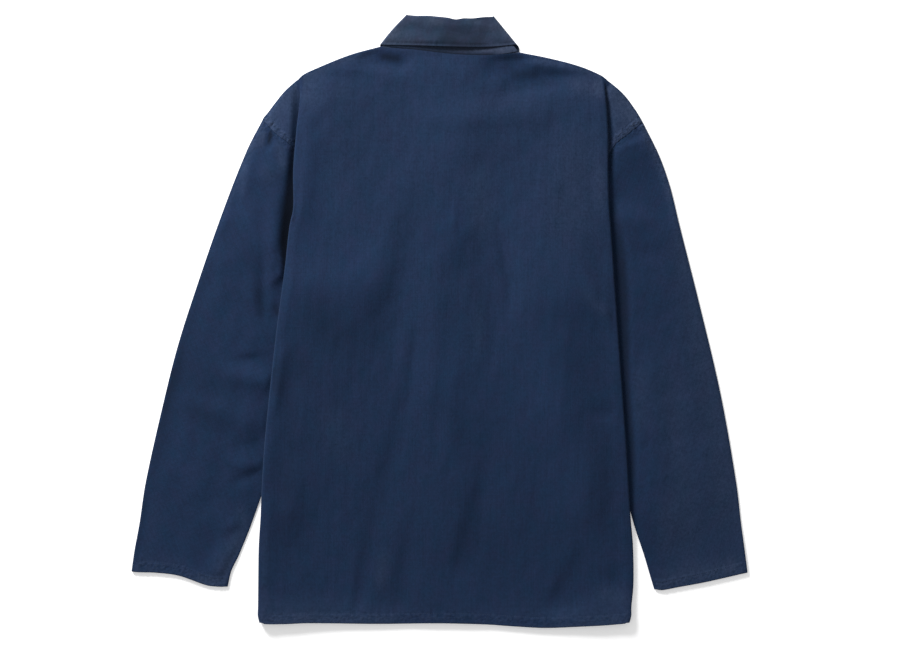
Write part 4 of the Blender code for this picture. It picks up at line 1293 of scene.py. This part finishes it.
COLLAR_ROLL = (
    # share across, x, y
    (0.0, -43, 405), (0.2, -21, 404), (0.5, 12, 402), (0.62, 26, 401), (1.0, 70, 403),
)
COLLAR_EDGE = (
    # share across, x, y
    (0.0, -77, 367), (0.25, -33, 366), (0.55, 23, 364), (0.8, 66, 364.2), (1.0, 100, 367.2),
)
COLLAR_CLOTH = 1.0          # the fall's two cloths and what stiffens them
ROLL_RETURN = 10            # from the roll down to the seam of the stand and the fall
STAND_INSET = 2.5           # the stand keeps inside the neck's corners
STAND_SEAM_GAP = 0.48       # and clear of the body's edge
CORNER_SHARPNESS = 6
COLLAR_FRONT_GAP = 3        # half of the gap between the collar's two ends
ROLL_FRONT_Y = 317
COLLAR_POINT = (45, 252)    # from the centre, and y
COLLAR_EDGE_BOW = 12        # of each front edge, outwards
COLLAR_MIDDLE_Z = LOWEST + FOLD_RADIUS
COLLAR_STITCH = 3           # in from the free edge
FALL_LENGTH = 180           # of its free edge across the back
FALL_STANDS_OFF = (0.2, 4.6)    # how far the free edge stands up at its ends and in the middle
TUCK = 5                    # seam allowance of the stand inside the neck
ROLL_DIPS = (
    # x, half width, and how far the roll dips towards the hem there
    (21, 8, 1.8), (-12, 14, -0.7),
)
FALL_RISES = (
    # x, y, half width, and how far the fall's edge stands up there
    (103, 363, 9, 1.8), (-77, 367, 26, 0.2),
)
SIDE_DROP = {-1: 3, 1: 9}   # how much lower the fall's edge lies once it has passed the side
COLLAR_COLUMNS = stations(0, (1, 30), (2, 12), (3, 110), (4, 12), (5, 30))


def mirrored(around):
    """Side of the collar, and how far round it from that side's front end."""
    side = np.where(around < 2.5, -1, 1)
    return side, np.where(around < 2.5, around, 5 - around)


def roll_line(around):
    """Plan points on the roll: left front end 0, left side 1 to 2, across the back to 3."""
    side, turn = mirrored(around)
    corner = curve(COLLAR_ROLL, np.where(side < 0, 0, 1))
    front = np.array([CENTRE_X + side * COLLAR_FRONT_GAP, ROLL_FRONT_Y + 0 * around])
    leading = lerp(front, corner, np.clip(turn, 0, 1))
    return np.where(turn > 1, curve(COLLAR_ROLL, np.clip(around - 2, 0, 1)), leading)


def fall_edge_line(around):
    """Plan points on the collar's free edge, round the same way as its roll."""
    side, turn = mirrored(around)
    drop = np.where(side < 0, SIDE_DROP[-1], SIDE_DROP[1]) * np.clip(2 - turn, 0, 1)
    corner = curve(COLLAR_EDGE, np.clip(around - 2, 0, 1))
    corner = corner + np.array([side * 0.6, -1 + 0 * side]) * drop
    share = np.clip(turn, 0, 1)
    point = np.array([CENTRE_X + side * COLLAR_POINT[0], COLLAR_POINT[1] + 0 * around])
    leading = lerp(point, corner, share)
    leading[0] += side * COLLAR_EDGE_BOW * np.sin(np.pi * share)
    return np.where(turn > 1, corner, leading)


def stand_foot_line(around):
    """Plan points on the stand's lower edge, along the neck seam of the back and the fronts."""
    side, turn = mirrored(around)
    inset = np.array([-side * STAND_INSET, STAND_INSET + 0 * side])
    share = np.clip(around - 2, 0, 1)
    seam = curve(NECK_SEAM, share) + inset * np.abs(2 * share - 1) ** CORNER_SHARPNESS
    seam[1] += STAND_SEAM_GAP
    share = np.clip(turn, 0, 1)
    angle = share * np.pi / 2
    start = TURN_SHARE + (FRONT_NECK - TURN_SHARE) * np.cos(angle)
    down = start * np.sqrt(np.clip(np.cos(angle), 0, 1))
    front = main_leaf(side * NECK_SHARE * np.sin(angle), down) + inset * share ** 3
    front[1] += 2 * STAND_SEAM_GAP
    front[0] = side * np.maximum(side * front[0], side * (CENTRE_X + side * COLLAR_FRONT_GAP))
    return np.where(turn > 1, seam, front)


def past_roll(around):
    """Unit vectors in plan out past the roll, away from the collar's free edge."""
    side, turn = mirrored(around)
    back = square_to(roll_line, around, 0.01, 2, 3)
    corner = np.where(side < 0, 1, 4)
    front = roll_line(corner) - roll_line(corner + side)
    front = unit(np.array([-front[1], front[0]]))
    front = front * np.where(front[0] * side < 0, 1, -1)
    slant = unit(roll_line(corner) - fall_edge_line(corner))
    up = np.array([0 * side, 0 * side + 1])
    turning = np.where(turn < 1.5, lerp(front, slant, 2 * (turn - 1)), lerp(slant, up, 2 * (turn - 1.5)))
    out = np.where(turn <= 1, front, unit(turning))
    return np.where(turn >= 2, back, out)


def ring_points(around, plan, radius, climb):
    """Points of a collar layer: two flat leaves joined by half round folds at the sides."""
    side, turn = mirrored(around)
    slant = roll_line(around) - fall_edge_line(around)
    outward = unit(np.array([slant[1], -slant[0]])) * side
    angle = np.pi * np.clip(2 - turn, 0, 1)
    plan = plan + past_roll(around) * climb + outward * radius * np.sin(angle)
    return np.array([*plan, COLLAR_MIDDLE_Z + radius * np.cos(angle)])


def return_line(around, extra):
    """Plan points where the fall meets the stand inside the roll."""
    down = unit(fall_edge_line(around) - roll_line(around))
    return roll_line(around) + down * (ROLL_RETURN + extra)


def on_stand(around, down):
    """Points on the stand, whose seam allowance past 1 is tucked inside the neck."""
    foot = stand_foot_line(around)
    top = return_line(around, 0.3)
    tuck = np.maximum(down - 1, 0)
    plan = lerp(top, foot, np.minimum(down, 1)) + unit(foot - top) * TUCK * tuck
    point = ring_points(around, plan, HALF_PITCH - 0.8 * ease(6 * tuck), 0)
    at_back = ease((mirrored(around)[1] - 1.8) / 0.2)
    lies_on = np.where(down > 1, back_relief(point[0], point[1]), back_relief(*foot))
    point[2] += at_back * lies_on * between(down, 0.7, 1)
    return point


FALL_CREASES = (
    # rows like those for the back
    (-22, 370, -10, 398, 0, 34, 18, 2.4), (58, 372, 62, 400, 0, 18, 16, -1.6),
    (0, 396, 60, 392, 2, 5, 9, 1.0), (-30, 384, 10, 388, 3, 6, 7, -0.6),
    (20, 380, 80, 385, 3, 6, 7, -0.8),
)
# Patches of painted light (above 0) and painted shade (below 0) on the fall.
FALL_PAINTED_LIGHT_AND_SHADE = (
    # rows like those for the back
    (-78, 368, -60, 390, 0, 9, 9, 0.9), (-60, 371, -16, 371, 0, 3, 3, 0.4),
    (-40, 388, -14, 385, 0, 8, 8, -0.25), (-14, 399, 4, 396, 0, 7, 7, 0.7),
    (0, 382, 14, 382, 0, 7, 7, -0.2), (24, 372, 40, 374, 0, 6, 6, 0.35),
    (36, 399, 52, 399, 0, 6, 6, 0.6), (44, 384, 74, 390, 0, 5, 6, 0.4),
    (52, 374, 66, 384, 0, 6, 5, -0.25), (76, 396, 98, 370, 0, 5, 5, 0.5),
    (40, 367, 62, 367, 0, 3, 3, -0.3),
)


def fall_relief(around, x, y, from_edge, down):
    """Height that the stiff fall stands up by, most of it at the sides of the neck."""
    _, turn = mirrored(around)
    at_back = ease((turn - 1.5) / 0.5)
    loft = 0.9 * ease(from_edge / 14) * ease((2 - down) / 0.2)
    groove = -0.35 * bump(from_edge - COLLAR_STITCH, 0.8)
    drawn = 0.2 * puckers(around * FALL_LENGTH, 61) * bump(from_edge - COLLAR_STITCH, 4)
    uneven = 0.3 * waves(x, y, 62, 14, 50) + creases(FALL_CREASES, x, y)
    stands_off = lerp(*FALL_STANDS_OFF, bump(x - 14, 52))
    for rise_x, rise_y, width, rise in FALL_RISES:
        stands_off = stands_off + rise * bump(np.hypot(x - rise_x, y - rise_y), width)
    stands_off = stands_off * ease((26 - from_edge) / 24)
    return at_back * (loft + groove + drawn + uneven * ease(from_edge / 8) + stands_off)


def on_fall(around, down):
    """Points on the fall: inside return up to 0, round the roll to 1, outer leaf to 2."""
    roll = roll_line(around)
    free_edge = fall_edge_line(around)
    inside = ring_points(around, lerp(roll, return_line(around, 0), -down), HALF_PITCH, 0)
    angle = np.pi * np.clip(down, 0, 1)
    rolled = ring_points(around, roll, PITCH - HALF_PITCH * np.cos(angle), HALF_PITCH * np.sin(angle))
    share = np.clip(down - 1, 0, 1)
    plan = lerp(roll, free_edge, share)
    leaf = ring_points(around, plan, FOLD_RADIUS, 0)
    leaf[2] += fall_relief(around, *plan, (1 - share) * np.hypot(*(free_edge - roll)), down)
    dip = sum(depth * bump(plan[0] - x, width) for x, width, depth in ROLL_DIPS)
    dip = dip + 0.3 * ripples(plan[0], 63, 25, 60, 4)
    dip = dip * ease((mirrored(around)[1] - 1.5) / 0.5) * (1 - between(share, 0, 0.5))
    leaf[1] -= dip
    leaf[0] -= 1.8 * np.sin(np.pi * share) * bump(around - 1.8, 0.45)
    rolled[1] -= dip
    return np.where(down < 0, inside, np.where(down <= 1, rolled, leaf))


COLLAR_NAVY = (0.0148, 0.0240, 0.0475)
collar_cotton = navy_cotton("navy_cotton_collar", grain=0.3, colour=COLLAR_NAVY, wash=0.7)
around, down = np.meshgrid(COLLAR_COLUMNS, stations(0, (1, 7), (1.03, 1), (1.08, 1), (1.15, 1), (2, 1)))
stand_points = on_stand(around, down)
under_fold = 1 - between(stand_points[0], 66, 86)
# Painted light on the lower part of the stand lightens the fall's shadow on it; a dark line marks the
# seam at its foot, except at its right end.
stand_painted_light_and_seam_line = 0.7 * between(down, 0.5, 0.7) - 1.4 * under_fold * bump(down - 1, 0.03)
stand = cloth_object("collar_stand_cloth", [(stand_points, stand_painted_light_and_seam_line, 0)], collar_cotton)

around, down = np.meshgrid(COLLAR_COLUMNS, stations(-1, (0, 3), (1, 10), (2, 29)))
fall_points = on_fall(around, down)
x, y, _ = fall_points
# Wear makes the free edge paler, and the roll is paler too; the fall's ends carry painted light and its
# middle painted shade, and so do its patches.
fall_wear_and_painted_shading = 0.3 * bump(down - 2, 0.06) + 0.2 * bump(down - 0.9, 0.3)
fall_wear_and_painted_shading += 0.35 * (1 - bump(x - 24, 52)) - 0.3 * bump(x - 28, 30)
fall_wear_and_painted_shading -= 0.35 * bump(x - 28, 40) * between(down, 1.45, 1.75)
fall_wear_and_painted_shading += creases(FALL_PAINTED_LIGHT_AND_SHADE, x, y) * ease((down - 0.9) / 0.2)
fall = cloth_object("collar_fall_cloth", [(fall_points, fall_wear_and_painted_shading, 0)], collar_cotton, COLLAR_CLOTH)


def inside_fall_edge(start, end, distance):
    """A line of points on the fall, a given distance in from its free edge."""
    around = np.linspace(start, end, 400)
    width = np.hypot(*(fall_edge_line(around) - roll_line(around)))
    return on_fall(around, 2 - distance / width)


fall_lines = [
    (inside_fall_edge(start, end, COLLAR_STITCH), up)
    for start, end, up in ((2.03, 2.97, 1), (0.06, 0.97, -1), (4.03, 4.94, -1))]
collar_stitches = stitches("collar_stitches", fall_lines, thread)
fit(stand, "navy_cotton_collar", "collar_stand")
fit(fall, "navy_cotton_collar", "collar_fall")
fit(collar_stitches, "navy_cotton_collar")


# ---------------------------------------------------------------- the buttons
# Five turned four-hole plastic buttons down the hidden front, each with a raised rim on the
# side that faces down, sewn with two bars of thread.

BUTTON_RIM = 1.6
BUTTON_DISH = 0.6
BUTTON_BEVEL = 0.4
BUTTON_HOLE_RADIUS = 0.9
BUTTON_HOLE_PITCH = 3.2
BUTTON_SIDES = 64
BAR_THREAD = 0.16           # radius of the sewing thread
BAR_PITCH = 0.28            # from one thread of a bar to the next


def button_material():
    """Dark navy plastic with faint clouds in it."""
    material, tree, place = new_material("button_navy")
    clouds = layered(tree, 0.5, (1.0, noise(tree, place, (160, 400, 160), 4.0, 0.6)))
    dyed = mix_colour(tree, clouds, (0.006, 0.009, 0.018, 1), (0.018, 0.024, 0.042, 1))
    finish(tree, {"Base Color": dyed, "Roughness": layered(tree, 0.25, (0.15, clouds))})
    return material


def button_hole_cutter():
    """Four round holes, as one object to cut with."""
    bm = bmesh.new()
    radius = BUTTON_HOLE_RADIUS * MM
    for side_x in SIDES:
        for side_y in SIDES:
            middle = Vector((side_x, side_y, 0)) * (BUTTON_HOLE_PITCH / 2 * MM)
            bmesh.ops.create_cone(
                bm, cap_ends=True, segments=20, radius1=radius, radius2=radius, depth=10 * MM,
                matrix=Matrix.Translation(middle))
    mesh = bpy.data.meshes.new("button_holes")
    bm.to_mesh(mesh)
    bm.free()
    return in_scene("button_holes", mesh)


def turned_button(name, centre, radius, height, cutter, material):
    """A button turned from its profile, with its holes cut."""
    inner = radius - BUTTON_RIM
    profile = (
        (0, height),
        (radius - BUTTON_BEVEL, height),
        (radius - 0.1, height - 0.1),
        (radius, height - BUTTON_BEVEL),
        (radius, BUTTON_BEVEL),
        (radius - 0.1, 0.1),
        (radius - BUTTON_BEVEL, 0),
        (inner + 0.3, 0),
        (inner, 0.1),
        (inner - BUTTON_DISH, BUTTON_DISH),
        (0, BUTTON_DISH),
    )
    mesh = bpy.data.meshes.new(name)
    points = [(across * MM, 0, up * MM) for across, up in profile]
    mesh.from_pydata(points, [(index, index + 1) for index in range(len(points) - 1)], [])
    mesh.materials.append(material)
    item = in_scene(name, mesh)
    item.location = centre
    cutter.location = centre
    turned = item.modifiers.new("turned", "SCREW")
    turned.steps = BUTTON_SIDES
    turned.render_steps = BUTTON_SIDES
    turned.use_merge_vertices = True
    turned.merge_threshold = 0.01 * MM
    holes = item.modifiers.new("holes", "BOOLEAN")
    holes.operation = "DIFFERENCE"
    holes.object = cutter
    apply_modifiers(item)
    return item


def sewing_bars(name, centre, material):
    """Two bars of three threads across the button's holes, on the side that shows."""
    verts = []
    faces = []
    for side in SIDES:
        for strand in (-1, 0, 1):
            y = centre.y / MM + side * BUTTON_HOLE_PITCH / 2 + strand * BAR_PITCH
            centres = []
            for share in np.linspace(-1, 1, 9):
                x = centre.x / MM + share * (BUTTON_HOLE_PITCH / 2 + 0.3)
                z = BUTTON_DISH - 0.25 + 3.2 * max(abs(share) - 0.75, 0)
                centres.append(Vector((x, y, z)))
            add_thread(verts, faces, centres, [BAR_THREAD] * len(centres), 6)
    return mesh_object(name, verts, faces, material)


button_plastic = button_material()
cutter = button_hole_cutter()
for node in buttons:
    low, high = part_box(node)
    centre = Vector(((low.x + high.x) / 2, (low.y + high.y) / 2, low.z))
    size = high - low
    button = turned_button(f"{node}_turned", centre, size.x / 2 / MM, size.z / MM, cutter, button_plastic)
    fit(button, "button_navy", node)
    fit(sewing_bars(f"{node}_thread", centre, thread), "button_navy")
bpy.data.objects.remove(cutter)


# ---------------------------------------------------------------- floor, light and camera
# A pale surface that glows a little, as a light table does, one large soft light from beyond
# the left shoulder, a white surround that fills the shadows, and a camera straight above.

CAMERA_HEIGHT = 3.0
VIEW_WIDTH = 1.197          # width of the surface that the view takes in
VIEW_CENTRE = (0.0133, -0.012)
SENSOR = 36.0
FLOOR_SIZE = 12
FLOOR_DROP = 0.0001         # keeps it clear of the cloth that lies on it
LIGHT_PLACE = (-1.45, 2.1, 1.25)
LIGHT_SIZE = 1.0
LIGHT_POWER = 158
WHITE = (1.0, 1.0, 1.0, 1.0)

bpy.ops.mesh.primitive_plane_add(size=FLOOR_SIZE, location=(0, 0, -FLOOR_DROP))
floor = bpy.context.active_object
floor.name = "floor"
floor_paint, tree, place = new_material("floor_paint")
shade = layered(tree, 0.5, (1.0, noise(tree, place, (3, 3, 3))))
pale = mix_colour(tree, shade, (0.87, 0.87, 0.875, 1), (0.89, 0.89, 0.89, 1))
finish(tree, {
    "Base Color": pale, "Roughness": 0.9, "Specular IOR Level": 0.1,
    "Emission Color": WHITE, "Emission Strength": 0.3})
floor.data.materials.append(floor_paint)

world = bpy.data.worlds.new("surround")
world.use_nodes = True
feed(world.node_tree, world.node_tree.nodes["Background"], {"Color": WHITE, "Strength": 0.5})
bpy.context.scene.world = world

key = bpy.data.lights.new("key", "AREA")
key.energy = LIGHT_POWER
key.size = LIGHT_SIZE
key_light = in_scene("key", key)
key_light.location = LIGHT_PLACE
key_light.rotation_euler = (-key_light.location).to_track_quat("-Z", "Y").to_euler()

lens = bpy.data.cameras.new("camera")
lens.sensor_width = SENSOR
lens.lens = SENSOR * CAMERA_HEIGHT / VIEW_WIDTH
camera = in_scene("camera", lens)
camera.location = (*VIEW_CENTRE, CAMERA_HEIGHT)
bpy.context.scene.camera = camera
bpy.context.scene.view_settings.view_transform = "Standard"
